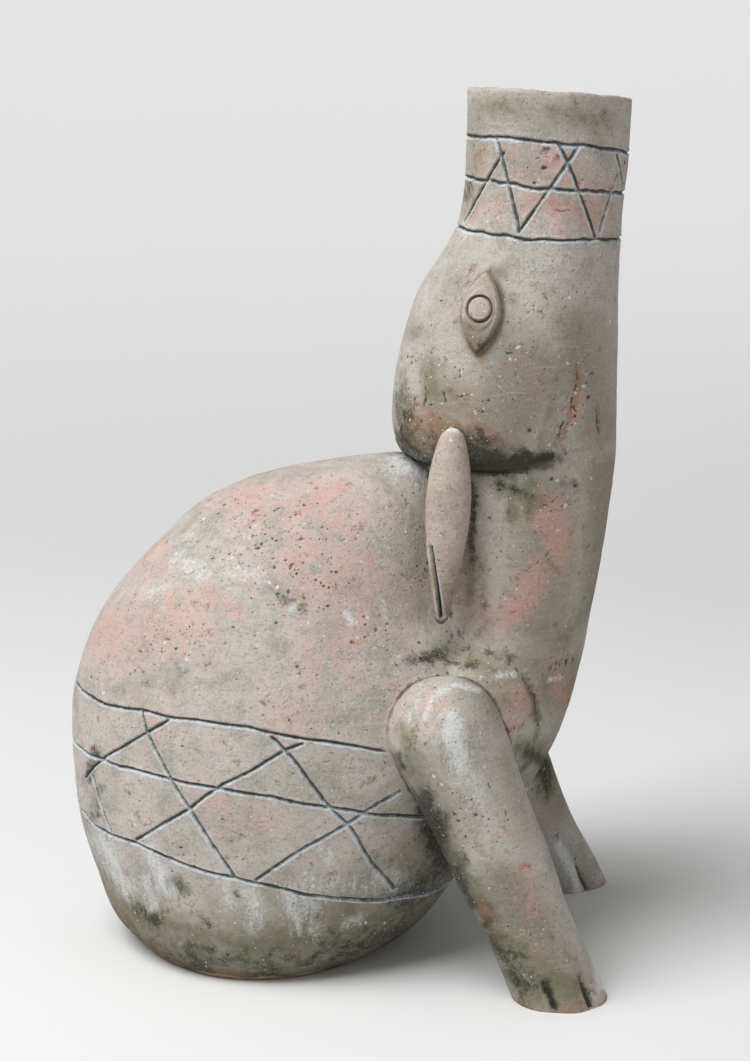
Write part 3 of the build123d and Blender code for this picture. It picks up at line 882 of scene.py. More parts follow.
def applied(side, thing, points, marks):
    """
    A piece pressed on the head, whose first and last rows close to points. It is laid on the right, and the
    left's is mirrored, with its columns turned round so that faces still point outwards.
    """
    points[0], points[-1] = points[0].mean(axis=0), points[-1].mean(axis=0)
    if side > 0:
        points = (points * (1, -1, 1))[:, ::-1]
        marks = {mark: values[:, ::-1] for mark, values in marks.items()}
    return make(side_name(side, f"{thing}_clay"), points, "applied_clay", marks, [side_name(side, thing)])


def add_rows(points, marks, after, before=None):
    """
    The grid with rows added after its own and, where given, before them, and with marks of 0 on the new rows.
    """
    before = points[:0] if before is None else before
    first, last = np.zeros(before.shape[:2]), np.zeros(after.shape[:2])
    marks = {mark: np.vstack([first, values, last]) for mark, values in marks.items()}
    return np.vstack([before, points, after]), marks


def add_inside(points, marks, inner):
    """The outer rows followed by the inner ones, which an inside mark of 1 tells apart."""
    both, marks = add_rows(points, marks, inner)
    marks["inside"] = np.zeros(both.shape[:2])
    marks["inside"][len(points):] = 1
    return both, marks


def turns(columns):
    """Evenly spaced turns all the way round, as one row."""
    return np.linspace(-pi, pi, columns, endpoint=False)[None, :]


def up_walk(low, high, rows, warp=None):
    """
    Walks from a start, or a row of starts, to an end in evenly shared rows, or rows shared as warp says.
    """
    shares = np.linspace(0, 1, rows)[:, None]
    return low + (high - low) * (shares if warp is None else warp(shares))


def joint_dirt(points, apart):
    """Dirt in a joint: a bell of the distance from it, made uneven by slow noise."""
    return (0.75 + 0.45 * swell(points, 9.0, 35)) * bell(apart, 2.0)


def walls(rings, walk, columns, others, groove, soft=()):
    """
    One band of a ringed form: laid, luted to its neighbours, cut and roughened. Its marks hold the joint's
    grime, and its lines fade out towards a joint.
    """
    laid = rings.lay(walk, turns(columns))
    skin, apart = lute(laid, rings, others, soft)
    height, carved, lip = groove(laid, walk)
    clear = ease(apart, 1.0, 6.0)
    points, marks = clay_skin(skin, height * clear)
    marks["carved"] = carved * clear
    marks["lip"] = lip * clear
    marks["joint"] = joint_dirt(points, apart)
    return points, marks


# Colours: shader sums written as expressions

class Value:
    """One output of a node. Sums of values add Math nodes."""

    def __init__(self, paint, socket):
        self.paint, self.socket = paint, socket

    def sum(self, operation, other):
        return self.paint.node("ShaderNodeMath", {"operation": operation}, {0: self, 1: other})

    def __add__(self, other):
        return self.sum("ADD", other)

    __radd__ = __add__

    def __sub__(self, other):
        return self.sum("SUBTRACT", other)

    def __mul__(self, other):
        return self.sum("MULTIPLY", other)

    __rmul__ = __mul__


class Paint:
    """Builds the nodes of one material."""

    def __init__(self, name):
        self.material = bpy.data.materials.new(name)
        self.material.use_nodes = True
        self.tree = self.material.node_tree
        self.tree.nodes.clear()
        self.place = self.node("ShaderNodeTexCoord", {}, {}, "Object")

    def node(self, kind, settings, sockets, output=0):
        """A node of a type, with its settings first and then its sockets' values or links."""
        made = self.tree.nodes.new(kind)
        for setting, value in settings.items():
            setattr(made, setting, value)
        for socket, value in sockets.items():
            if isinstance(value, Value):
                self.tree.links.new(value.socket, made.inputs[socket])
            else:
                made.inputs[socket].default_value = value
        return Value(self, made.outputs[output]) if made.outputs else made

    def noise(self, size, detail, rough=0.55, stretch=(1, 1, 1), warp=0.0):
        """
        Noise from 0 to 1 whose features are about size millimetres, longer where the stretch is under 1.
        """
        place = self.node("ShaderNodeMapping", {}, {"Vector": self.place, "Scale": stretch})
        sockets = {"Scale": 1 / (size * MILLIMETRE), "Detail": detail, "Roughness": rough, "Distortion": warp}
        return self.node("ShaderNodeTexNoise", {}, {"Vector": place, **sockets}, "Fac")

    def grains(self, size, output="Distance"):
        """
        Distance to the nearest of scattered points about size millimetres apart, or that point's own colour.
        """
        sockets = {"Vector": self.place, "Scale": 1 / (size * MILLIMETRE)}
        return self.node("ShaderNodeTexVoronoi", {}, sockets, output)

    def pick(self, size, channel):
        """A number from 0 to 1 for each of the scattered points."""
        return self.node("ShaderNodeSeparateColor", {}, {0: self.grains(size, "Color")}, channel)

    def mark(self, name):
        """A mark that the mesh carries."""
        return self.node("ShaderNodeAttribute", {"attribute_name": name}, {}, "Fac")

    def between(self, value, low, high, start=0.0, end=1.0):
        """Eases from start to end as the value goes from low to high."""
        sockets = {"Value": value, "From Min": low, "From Max": high, "To Min": start, "To Max": end}
        return self.node("ShaderNodeMapRange", {"interpolation_type": "SMOOTHSTEP"}, sockets)

    def over(self, much, below, above):
        """One colour laid over another by a share."""
        return self.node("ShaderNodeMix", {"data_type": "RGBA"}, {0: much, 6: below, 7: above}, 2)

    def finish(self, colour, roughness, height, depth, strength):
        """Joins colour, roughness and a bump to the surface; constants stay on the shader's own sockets."""
        relief = {"Height": height, "Distance": depth * MILLIMETRE, "Strength": strength}
        bump = self.node("ShaderNodeBump", {}, relief)
        sockets = {"Base Color": colour, "Roughness": roughness, "Normal": bump, "Specular IOR Level": 0.35}
        surface = self.node("ShaderNodeBsdfPrincipled", {}, sockets)
        self.node("ShaderNodeOutputMaterial", {}, {"Surface": surface})
        return self.material


class ClayPaint(Paint):
    """Paint with the noises that all of a clay's colours share, and the colour laid so far."""

    def __init__(self, name, colour):
        super().__init__(name)
        self.clouds = self.noise(22.0, 4.0, 0.6, warp=0.8)
        self.mottle = self.noise(5.5, 6.0, 0.7, warp=0.3)
        self.fine = self.noise(1.2, 3.0, 0.75)
        self.brushed = self.noise(1.5, 2.0, 0.6, (0.12, 0.12, 1.0), 0.4)
        self.streaks = self.noise(2.4, 3.0, 0.65, (1.0, 1.0, 0.16))
        self.ragged = 1.6 * self.mottle + 0.9 * self.clouds + 0.9 * self.fine - 1.7
        self.colour = colour

    def lay(self, much, colour):
        """Lays a colour over what is there by a share."""
        self.colour = self.over(much, self.colour, colour)


def shade(red, green, blue):
    """A screen colour from 0 to 255 as the shader's own numbers, by the sRGB curve."""
    shares = [value / 255 for value in (red, green, blue)]
    return (*[((share + 0.055) / 1.055) ** 2.4 if share > 0.04 else share / 12.92 for share in shares], 1.0)


# What weather, soil, fire and wear have left on the clay, what has settled in its hollows, and painted shade,
# painted shadow and painted highlights.
# Brown, laid both as browner clay and as painted shade.
brown_tone_and_shade = shade(132, 122, 104)
cool_haze = shade(142, 144, 136)
warm_haze = shade(178, 146, 128)
brushed_pale = shade(222, 214, 206)
brushed_dark = shade(122, 115, 103)
# Olive grime, also laid as painted shade.
olive_grime_and_shade = shade(112, 109, 78)
ochre_stain = shade(150, 112, 78)
# Painted shade, laid where the surface faces down.
painted_underside_shade = shade(78, 73, 54)
# Smoke black, also laid as painted shadow.
smoke_and_shadow_black = shade(40, 41, 32)
# Chalk white, also laid as painted highlights.
chalk_and_highlight_white = shade(226, 229, 230)
pale_dust = shade(226, 219, 210)
dark_dust = shade(94, 88, 76)
ochre_grit = shade(182, 148, 122)
white_grit = shade(230, 230, 226)
black_grit = shade(62, 62, 54)
pit_dust = shade(62, 58, 48)
# Dirt in joints, also laid as painted shade in the fold under the head.
joint_grime_and_fold_shade = shade(58, 56, 45)
groove_dust = shade(56, 59, 55)
lip_chalk = shade(204, 214, 219)
inner_brown = shade(92, 80, 68)

# Coarse and fine grits: how far apart they lie, how far one reaches, and the share of them that stays unseen.
fine_apart, coarse_apart = 1.7, 3.6
grit_kinds = ((fine_apart, 0.26, 0.950), (coarse_apart, 0.26, 0.985))

# A clay's pale, middle and fired pink tones, and how much of the pink shows.
clay_tones = {
    "smoked_clay": (shade(204, 196, 189), shade(168, 160, 150), shade(214, 156, 143), 0.62),
    "slab_clay": (shade(200, 184, 170), shade(164, 146, 130), shade(208, 146, 126), 0.62),
    "applied_clay": (shade(206, 190, 178), shade(176, 160, 146), shade(204, 160, 144), 0.55),
}


def bare(paint, pale, pink, pink_much):
    """
    Bare clay: two greys in clouds, tinted pink where the fire reached it, and brown where the tan mark lays
    browner clay and painted shade.
    """
    tone = paint.between(0.5 * paint.clouds + 0.35 * paint.mottle + 0.15 * paint.fine, 0.38, 0.62)
    paint.lay(tone, pale)
    # Browner clay and painted shade, where the tan mark is strong.
    paint.lay(paint.between(paint.mark("tan") + 0.5 * paint.ragged, 0.05, 0.95, 0.0, 0.80), brown_tone_and_shade)
    flush = paint.between(paint.mark("salmon") + 1.5 * paint.ragged + 0.6 * paint.brushed - 0.32, 0.05, 1.15)
    paint.lay(flush * pink_much, pink)
    paint.lay(paint.between(paint.noise(12.0, 5.0, 0.7, warp=1.0), 0.50, 0.72, 0.0, 0.30), cool_haze)
    paint.lay(paint.between(paint.noise(9.0, 5.0, 0.7, warp=1.4), 0.54, 0.74, 0.0, 0.40), warm_haze)
    paint.lay(paint.between(paint.brushed, 0.56, 0.76, 0.0, 0.18), brushed_pale)
    paint.lay(paint.between(paint.brushed, 0.44, 0.26, 0.0, 0.20), brushed_dark)


def stains(paint):
    """Olive grime with painted shade, ochre, smoke with painted shadow and chalk with painted highlights,
    each laid where its mark is strong and thinned by ragged noise; and painted shade on undersides.
    """
    grain = paint.between(paint.fine, 0.34, 0.60, 0.55, 1.0)
    # Olive grime, partly painted shade under the head, beside the ear and on the foreleg's shaded side.
    grime_and_shade = paint.between(paint.mark("olive") + 1.1 * paint.ragged, 0.10, 1.05, 0.0, 0.88)
    paint.lay(grime_and_shade * grain, olive_grime_and_shade)
    rust = paint.between(paint.mark("rust") + 1.5 * paint.ragged, 0.18, 0.95, 0.0, 0.72)
    paint.lay(rust * grain, ochre_stain)
    # Painted shade on undersides, the stronger the more the surface faces down.
    paint.lay(paint.between(paint.mark("facing"), 0.0, -0.75, 0.0, 0.80), painted_underside_shade)
    # Smoke, and painted shadow under the head, beside the ear, between leg and body and at the bowl's foot.
    smoke_and_shadow = paint.between(paint.mark("soot_and_shadow") + 1.3 * paint.ragged, 0.15, 1.05, 0.0, 1.0)
    paint.lay(smoke_and_shadow * (0.35 + 0.62 * grain), smoke_and_shadow_black)
    # Chalk bloom, and painted highlights on the foreleg, the foot, the ear's top and the rump.
    chalk = paint.mark("pale") + 1.2 * paint.streaks + 1.2 * paint.fine - 1.25
    paint.lay(paint.between(chalk, 0.20, 1.05, 0.0, 0.72), chalk_and_highlight_white)


def grit(paint):
    """
    Fine and coarse grains: pale and dark dust all over, and white, black and ochre grits that crowd in
    places.
    """
    paint.lay(paint.between(paint.fine, 0.54, 0.80, 0.0, 0.55), pale_dust)
    paint.lay(paint.between(paint.fine, 0.47, 0.24, 0.0, 0.60), dark_dust)
    crowd = paint.mark("crowd")
    for size, reach, rare in grit_kinds:
        spot = paint.between(paint.grains(size) + 1.1 * paint.fine - 0.55, reach, 0.5 * reach)
        ochre = paint.pick(size, 2) + 0.10 * crowd + 0.10 * paint.mark("rust")
        paint.lay(spot * paint.between(ochre, rare, rare + 0.02) * 0.45, ochre_grit)
        white = paint.pick(size, 0) + 0.24 * crowd + 0.16 * paint.mark("pale")
        paint.lay(spot * paint.between(white, rare, rare + 0.015) * 0.80, white_grit)
        # Black grits crowd a little where the soot and painted shadow are.
        black = paint.pick(size, 1) + 0.44 * crowd + 0.12 * paint.mark("soot_and_shadow")
        paint.lay(spot * paint.between(black, rare, rare + 0.015) * 0.85, black_grit)


def lines_and_joints(paint):
    """
    What has settled in pits, joints and drawn lines: dark dust, and chalk in the lines and on their lower
    lips. The joints' dark is also painted shade in the fold under the head.
    """
    paint.lay(paint.between(paint.mark("pit"), 0.08, 0.60, 0.0, 0.85), pit_dust)
    # Joint dirt, and painted shade in the fold under the head.
    paint.lay(paint.between(paint.mark("joint") + 1.2 * paint.ragged, 0.30, 1.05, 0.0, 0.80), joint_grime_and_fold_shade)
    paint.lay(paint.between(paint.mark("carved") + 0.4 * paint.fine, 0.30, 0.85, 0.0, 0.90), groove_dust)
    broken = paint.between(paint.mottle + 0.9 * paint.clouds + 1.1 * paint.fine, 1.26, 1.66, 0.10, 1.0)
    paint.lay(paint.mark("lip") * broken, lip_chalk)
    paint.lay(paint.mark("inside") * 0.70, inner_brown)


def clay(name):
    """Unglazed low-fired clay, rough and unshiny, with its bump from the same grain, brushing and grit."""
    pale, middle, pink, pink_much = clay_tones[name]
    paint = ClayPaint(name, middle)
    bare(paint, pale, pink, pink_much)
    stains(paint)
    grit(paint)
    lines_and_joints(paint)
    roughness = 0.84 + 0.10 * paint.fine - 0.26 * paint.mark("pale")
    hollows = paint.between(paint.grains(fine_apart), 0.0, 0.36)
    dips = paint.between(paint.grains(coarse_apart), 0.05, 0.26)
    height = 0.50 * paint.fine + 0.30 * hollows + 0.40 * dips + 0.50 * paint.mottle + 0.18 * paint.brushed
    return paint.finish(paint.colour, roughness, height, 0.60, 0.85)


clays = {name: clay(name) for name in clay_tones}


# The vessel. Each form's grid has so many columns and, up its outer skin, so many rows.
body_columns, pattern_columns, bowl_rows, pattern_rows, back_rows = 600, 1040, 96, 86, 144
neck_columns, neck_rows, head_columns, head_rows = 520, 168, 520, 158
muzzle_columns, muzzle_rows = 560, 138

# The clay disc ends a little under the wall's foot, and the crown's faces this far inside the neck are left
# out.
slab_edge, crown_dip = slab_top - 0.4, -4.5


def crowd_ends(shares):
    """Shares that crowd towards both ends, where the lines are."""
    return shares - 0.45 * np.sin(2 * pi * shares) / (2 * pi)


def crowd_low(shares):
    """Shares that crowd towards the lower end."""
    return 0.35 * shares + 0.65 * shares**2


def body_band(name, low, high, rows, columns, node, strokes=(), top=False):
    """
    One closed ring of the body's wall from a low to a high walk: outer skin up, inner skin down. The top band
    closes over, open under the neck.
    """
    walk = up_walk(low, high, rows, crowd_low if top else crowd_ends)
    outer = walls(body, walk, columns, (neck, *both_legs), drawn(body, body_lines, strokes), both_breasts)
    height = body.height_at(up_walk(high, low, 14 if top else 4))
    inner = body_hollow.lay_at(np.maximum(height, slab_top), turns(columns))
    points, marks = add_inside(*outer, inner)
    keep = None
    if top:
        middles = (points + np.roll(points, -1, axis=0) + np.roll(points, -1, axis=1)) / 3
        keep = neck.off(middles)[0] > crown_dip
        points[rows - 1] = points[rows - 1].mean(axis=0)
        points[rows] = points[rows].mean(axis=0)
        keep[rows - 1] = False
    return make(name, points, "smoked_clay", marks, [node], True, keep, (0, rows - 1))


def flat_disc(ring, middle, shares, height):
    """A ring's points drawn in towards a middle by shares, one row for each, and set at a height."""
    disc = middle + (ring - middle) * shares[:, None, None]
    disc[..., 2] = height
    return disc


def slab():
    """
    The disc under the body: from the middle of its underside out, up its worn edge and back over the top.
    """
    walk = up_walk(body.walk_at(0), body.walk_at(slab_edge), 20)
    points, marks = walls(body, walk, body_columns, (neck, *both_legs), plain)
    points[..., 2] = np.clip(points[..., 2], 0.0, slab_edge)
    points[0, :, 2] = 0.0
    worn = ease(3.2 + 1.6 * swell(points, 9.0, 23) - points[..., 2], 0, 1.4)
    smoked = 0.7 * (1 - worn) * ease(swell(points, 14.0, 29), -0.4, 0.5)
    marks["rust"] = np.maximum(marks["rust"], 1.2 * worn)
    # Less painted underside shade on the slab's worn edge.
    marks["facing"] = marks["facing"] * (1 - 0.9 * worn)
    # Smoke on the slab, over a weakened share of the runs' soot and painted shadow.
    marks["soot_and_shadow"] = np.maximum(0.3 * marks["soot_and_shadow"], smoked)
    shares, middle = np.linspace(0, 0.99, 12), points[0].mean(axis=0)
    under = flat_disc(points[0], middle, shares, 0.0)
    over = flat_disc(points[-1], middle, shares[::-1], slab_edge)
    points, marks = add_rows(points, marks, over, under)
    return make("base_slab_clay", points, "slab_clay", marks, ["base_slab"])


def body_pieces():
    """The body's wall in four bands between its slab, its drawn lines and its crown."""
    wide, fine = turns(body_columns), turns(pattern_columns)
    foot, crown = body.walk_at(slab_edge), body.walk[-1]
    low, middle, high = (ring_walk(body, line, fine) for line in (bottom_line, middle_line, top_line))
    bowl_top, back_foot = ring_walk(body, bottom_line, wide), ring_walk(body, top_line, wide)
    body_band("bowl_wall", foot, bowl_top, bowl_rows, body_columns, "rump_bowl")
    body_band("lower_pattern", low, middle, pattern_rows, pattern_columns, "belly_ring", body_strokes)
    body_band("upper_pattern", middle, high, pattern_rows, pattern_columns, "shoulder_ring", body_strokes)
    body_band("back_wall", back_foot, crown, back_rows, body_columns, "back_dome", top=True)


# Degrees from the throat: where head and neck start to part, and where the head overhangs the neck. The fold
# under the head climbs beside the throat and is level from level_turn on.
throat_turn, overhang_turn, level_turn = 46, 80, 112
fold_climb, fold_deep = 6, 0.9


def throat(turn):
    """1 where head and neck run on as one surface at the throat, and 0 where the head overhangs the neck."""
    return 1 - ease(np.abs(np.degrees(turn)), throat_turn, overhang_turn)


def climb(turn):
    """
    How far the fold under the head climbs over the neck's top ring: not at the back, and most beside the
    throat.
    """
    return fold_climb * ease(level_turn - np.abs(np.degrees(turn)), 0, 38)


def crease(points, turn, reach=3.0):
    """How near points are to the fold under the overhanging head: a bell of the height over it."""
    return bell(points[..., 2] - neck_top - climb(turn), reach) * (1 - throat(turn))


def neck_wall():
    """The neck's tube: outer skin from foot to top, inner skin from top to the passage's foot."""
    turn = turns(neck_columns)

    def fold(laid, walk):
        deep = crease(laid, turn)
        return -fold_deep * deep, 0 * deep, 0 * deep

    walk = up_walk(0, neck.walk_at(neck_top), neck_rows)
    points, marks = walls(neck, walk, neck_columns, (body, *both_legs), fold, both_breasts)
    # Painted shade in the fold under the overhanging head.
    marks["joint"] = np.maximum(marks["joint"], 1.2 * crease(points, turn, 2.4))
    inner = neck_hollow.lay(up_walk(neck_hollow.walk[-1], 0, 8), turn)
    points, marks = add_inside(points, marks, inner)
    return make("neck_wall", points, "smoked_clay", marks, ["neck_column"], True, None, (neck_rows - 1,))


def almond_gap(points):
    """
    Distance from the eye's almond in its own plane, less than 0 inside: two arcs whose middles lie across
    from each other. Also the distance out from that plane.
    """
    from_eye = points * (1, 0, 1) - (0, 1, 0) * np.abs(points[..., 1:2]) - eye_middle
    across, along, out = from_eye @ eye_across, from_eye @ eye_along + almond_drop, from_eye @ eye_out
    gap = np.hypot(np.abs(across) + almond_curve - almond_half, along) - almond_curve
    return gap, out


def head_wall():
    """
    The swollen head: outer skin from the neck up to the muzzle's lowest line, and the inner skin back down.
    At the throat it rises out of the neck's own column instead of overhanging it.
    """
    turn = turns(head_columns)
    top = ring_walk(head, muzzle_foot_line, turn)
    walk = up_walk(0, top, head_rows)
    laid = head.lay(walk, turn)
    skin, apart = lute(laid, head, (body,))
    shares = np.linspace(0, 1, head_rows)[:, None]
    runs_on, raised = throat(turn), ease(climb(turn), 0.0, 1.5)
    level = laid[..., 2] + raised * (neck_top + (laid[-1, :, 2] - neck_top) * shares - laid[..., 2])
    column = neck.lay_at(level, turn)
    bulge = ease(level - neck_top - climb(turn) - 18 * runs_on, 0 * runs_on, 2.5 + 60 * runs_on)
    skin = column + (skin - column) * (1 - raised * (1 - bulge))[..., None]
    height, carved, lip = drawn(head, muzzle_lines)(laid, walk)
    gap, out = almond_gap(laid)
    near_eye = np.abs(out) < 7
    socket = bell(gap - 0.7, 0.8) * near_eye
    points, marks = clay_skin(skin, height - fold_deep * crease(laid, turn) - 0.6 * socket)
    marks["carved"], marks["lip"] = np.maximum(carved, 0.35 * socket), lip
    marks["olive"] = np.maximum(marks["olive"], 0.7 * bell(np.maximum(gap, 0), 3.0) * near_eye)
    # Joint dirt, and painted shade in the fold under the overhanging head.
    marks["joint"] = np.maximum(joint_dirt(points, apart), 1.35 * crease(points, turn, 5.0))
    inner = head_hollow.lay_at(head.height_at(up_walk(top, 0, 12)), turn)
    points, marks = add_inside(points, marks, inner)
    return make("head_wall", points, "smoked_clay", marks, ["head_bulb"], True, None, (0, head_rows - 1))


# The muzzle's rim: its height and half depth, how steeply it falls to the throat, and how high its lip is.
rim_high, rim_reach, rim_fall, lip_high = 397.0, 37.0, radians(3.5), 1.7


def rim_height(turn):
    """The rim falls a little towards the throat, and a hand's unevenness is left in it."""
    return rim_high - rim_reach * tan(rim_fall) * np.cos(turn) + ring_stray * waver(turn / 2, 17)


def muzzle_wall():
    """The open muzzle: outer skin up to the rim, half an oval over the rim, and the bore back down."""
    turn = turns(muzzle_columns)
    edge = rim_height(turn) - lip_high
    walk = up_walk(ring_walk(head, muzzle_foot_line, turn), head.walk_at(edge), muzzle_rows)
    points, marks = walls(head, walk, muzzle_columns, (body,), drawn(head, muzzle_lines, muzzle_strokes))
    bend = np.linspace(0, pi, 12)[1:-1, None]
    inset = lip_wall / 2 * (1 - np.sign(np.cos(bend)) * np.abs(np.cos(bend)) ** 0.6)
    middle = points[-1].mean(axis=0)
    away = points[-1] - middle
    lip = middle + away * (1 - inset / np.linalg.norm(away[:, :2], axis=-1))[..., None]
    lip[..., 2] = points[-1, :, 2] + lip_high * np.sin(bend) ** 0.8 + 0.2 * swell(lip, 3.0, 19)
    points, marks = add_rows(points, marks, lip)
    marks["rust"][-len(lip):] = 0.3
    bore = head_hollow.lay_at(up_walk(edge, around(muzzle_foot_line, turn), 26), turn)
    points, marks = add_inside(points, marks, bore)
    return make("muzzle_wall", points, "smoked_clay", marks, ["muzzle_spout"], True, None, (0,))


def breast(side):
    """A rounded swelling: a ball's latitudes and longitudes, luted to the neck and the body."""
    ball = breasts[side]
    rise, turn = np.linspace(-pi / 2, pi / 2, 110)[:, None], turns(220)
    out = np.stack([np.cos(rise) * np.cos(turn), np.cos(rise) * np.sin(turn), np.sin(rise) + 0 * turn], -1)
    skin, apart = lute(ball.start + ball.radii[0] * out, ball, both_legs, (neck, body))
    points, marks = clay_skin(skin)
    marks["joint"] = joint_dirt(points, apart)
    return make(side_name(side, "breast"), points, "smoked_clay", marks, [])


# The cuts between the toes: their turns from straight ahead, how far up the foot they reach, the depth of
# each cut and of the valley round it, a cut's half width at its top, how much wider it is at the sole, and
# the valley's reach in half widths. Then the radius that rounds the sole's edge.
toe_turns, toe_length = (-93.0, -43.0, 51.0), 22.0
toe_cut_deep, toe_valley_deep, toe_half_wide, toe_wider, valley_wide = 1.6, 1.5, 0.7, 1.2, 2.6
sole_rounding = 2.6


def frame_along(run):
    """Two unit ways square to a run: one as near to forwards as can be, and the run crossed with it."""
    ahead = np.array([1.0, 0.0, 0.0]) - run * run[0]
    ahead = ahead / np.linalg.norm(ahead)
    return ahead, np.cross(run, ahead)


def toes(laid, roll, side):
    """
    Wedges pressed up from the sole between the toes: a shallow valley with a cut in it, both widest below.
    """
    run = roll.run / roll.length
    ahead, across = frame_along(run)
    height, carved, _ = plain(laid)
    for toe in toe_turns:
        foot = roll.end + roll.radii[-1] * (cos(radians(toe)) * ahead + side * sin(radians(toe)) * across)
        foot = foot - run * (foot[2] / run[2])
        away = laid - foot
        up = -(away @ run)
        apart = np.linalg.norm(away + up[..., None] * run, axis=-1)
        fade = ease(toe_length - up, 0, 14) * (up > -8)
        half = toe_half_wide + toe_wider * fade
        groove = bowl(apart, half)
        deep = toe_valley_deep * bell(apart, valley_wide * half) + toe_cut_deep * groove
        height = np.minimum(height, -fade * deep)
        carved = np.maximum(carved, fade * groove)
    return height, carved


def foreleg(side):
    """
    A roll of clay from the shoulder to the sole. Rows go from a pole behind the shoulder over a half ball,
    along lines that all end on the floor, and in over the sole to its middle.
    """
    roll = legs[side]
    run = roll.run / roll.length
    ahead, across = frame_along(run)
    turn = turns(280)
    out = np.cos(turn)[..., None] * ahead + np.sin(turn)[..., None] * across
    cap = np.linspace(0, pi / 2, 30)[:-1, None, None]
    ball = roll.start + roll.radii[0] * (np.sin(cap) * out - np.cos(cap) * run)
    reach = (roll.start[2] + roll.radii[-1] * out[..., 2]) / -run[2]
    along = up_walk(0, reach, 184)
    over_floor = (reach - along) * -run[2]
    rounded = np.clip(sole_rounding - over_floor, 0, sole_rounding)
    radius = roll.radius(along / roll.length) - (sole_rounding - np.sqrt(sole_rounding**2 - rounded**2))
    tube = roll.start + run * along[..., None] + radius[..., None] * out
    laid = np.vstack([ball, tube])
    skin, apart = lute(laid, roll, (body, neck, *both_breasts))
    height, carved = toes(laid, roll, side)
    points, marks = clay_skin(skin, height)
    marks["joint"] = np.maximum(joint_dirt(points, apart), 1.2 * carved)
    muddy = ease(5.0 + 3 * swell(points, 8.0, 33) - points[..., 2], 0, 6)
    marks["rust"] = np.maximum(marks["rust"], 0.8 * muddy)
    points[..., 2] = np.maximum(points[..., 2], 0)
    middle = points[-1].mean(axis=0)
    sole = flat_disc(points[-1], middle, np.linspace(0.96, 0, 8), middle[2])
    points, marks = add_rows(points, marks, sole)
    return make(side_name(side, "foreleg_clay"), points, "smoked_clay", marks, [side_name(side, "foreleg")])


# An ear's shares of length, and its half width and half thickness there as shares of the most.
ear_shares = np.array((
    (0.000, 0.00, 0.00), (0.006, 0.20, 0.24), (0.030, 0.46, 0.56), (0.075, 0.62, 0.76), (0.150, 0.76, 0.90),
    (0.230, 0.88, 0.96), (0.360, 0.99, 1.00), (0.490, 0.97, 0.98), (0.630, 0.84, 0.90), (0.770, 0.65, 0.78),
    (0.890, 0.48, 0.64), (0.970, 0.34, 0.46), (0.995, 0.16, 0.22), (1.000, 0.00, 0.00),
))
ear_top, ear_tip = np.array([54.5, -47.5, 252.0]), np.array([49.5, -47.5, 163.0])
ear_half_wide, ear_half_thick = 10.0, 7.0

# The ear's slit: shares of the length with shares of the half width, and its half width, depth and raised
# edge.
slit_shares = ((0.60, -0.64), (0.70, -0.46), (0.80, -0.26), (0.95, 0.02))
slit_half_wide, slit_deep, slit_edge_apart, slit_edge_wide, slit_edge_high = 1.15, 3.2, 1.7, 0.6, 0.25


def smoothed(values):
    """Values averaged over nine neighbours, but for the six at each end."""
    middle = slice(6, -6)
    values[middle] = np.convolve(values, np.ones(9) / 9, "same")[middle]
    return values[:, None, None]


def ear(side):
    """A leaf of clay hung tip down: ovals across its length, with its outer face slit towards the tip."""
    hang = ear_tip - ear_top
    ahead, across = frame_along(hang / np.linalg.norm(hang))
    share = 0.5 - 0.5 * np.cos(pi * np.linspace(0, 1, 240))
    wide, thick = (smoothed(np.interp(share, ear_shares[:, 0], ear_shares[:, k])) for k in (1, 2))
    share = share[:, None]
    turn = turns(180)
    laid = (
        ear_top + hang * share[..., None]
        + ear_half_wide * wide * np.cos(turn)[..., None] * ahead
        + ear_half_thick * thick * np.sin(turn)[..., None] * across
    )
    level = laid - across * (laid @ across)[..., None]
    line = [ear_top + hang * at + ahead * ear_half_wide * aside for at, aside in slit_shares]
    line = [place - across * (place @ across) for place in line]
    apart = distance_to(level, line)[0] + 99 * (np.sin(turn) < 0)
    slit = bowl(apart, slit_half_wide)
    edge = bell(apart - slit_edge_apart, slit_edge_wide)
    height = slit_edge_high * edge - slit_deep * slit**0.6
    points, marks = clay_skin(laid, height, lumps=0.7, rough=0.4, stained=0.2)
    marks["carved"] = slit
    marks["lip"] = 0.5 * edge
    # Browner towards the tip, which hangs lowest.
    marks["tan"] = 0.9 * ease(share, 0.40, 1.0) * np.ones_like(slit)
    # Painted highlight on the ear's top.
    marks["pale"] = bell(share - 0.008, 0.012) * np.ones_like(slit)
    return applied(side, "ear", points, marks)


def eye_place(across, along, out):
    """A point of the eye from how far it is across the almond, along it and out from the head."""
    flat = eye_middle + across[..., None] * eye_across + along[..., None] * eye_along
    return flat + out[..., None] * eye_out


# How far out from the head's plane the eye pad's parts are: its root, shoulder, face, edge and pocket's
# floor. The pocket's half width, and then a pupil pellet's half width, rounded edge, shoulder and crown.
pad_root, pad_shoulder, pad_face, pad_edge, pocket_floor = -7.9, 2.2, 4.7, 5.5, 4.0
pocket_half_wide = 6.3
pellet_half_wide, pellet_rounding, pellet_shoulder, pellet_crown = 5.1, 1.2, 4.9, 0.4


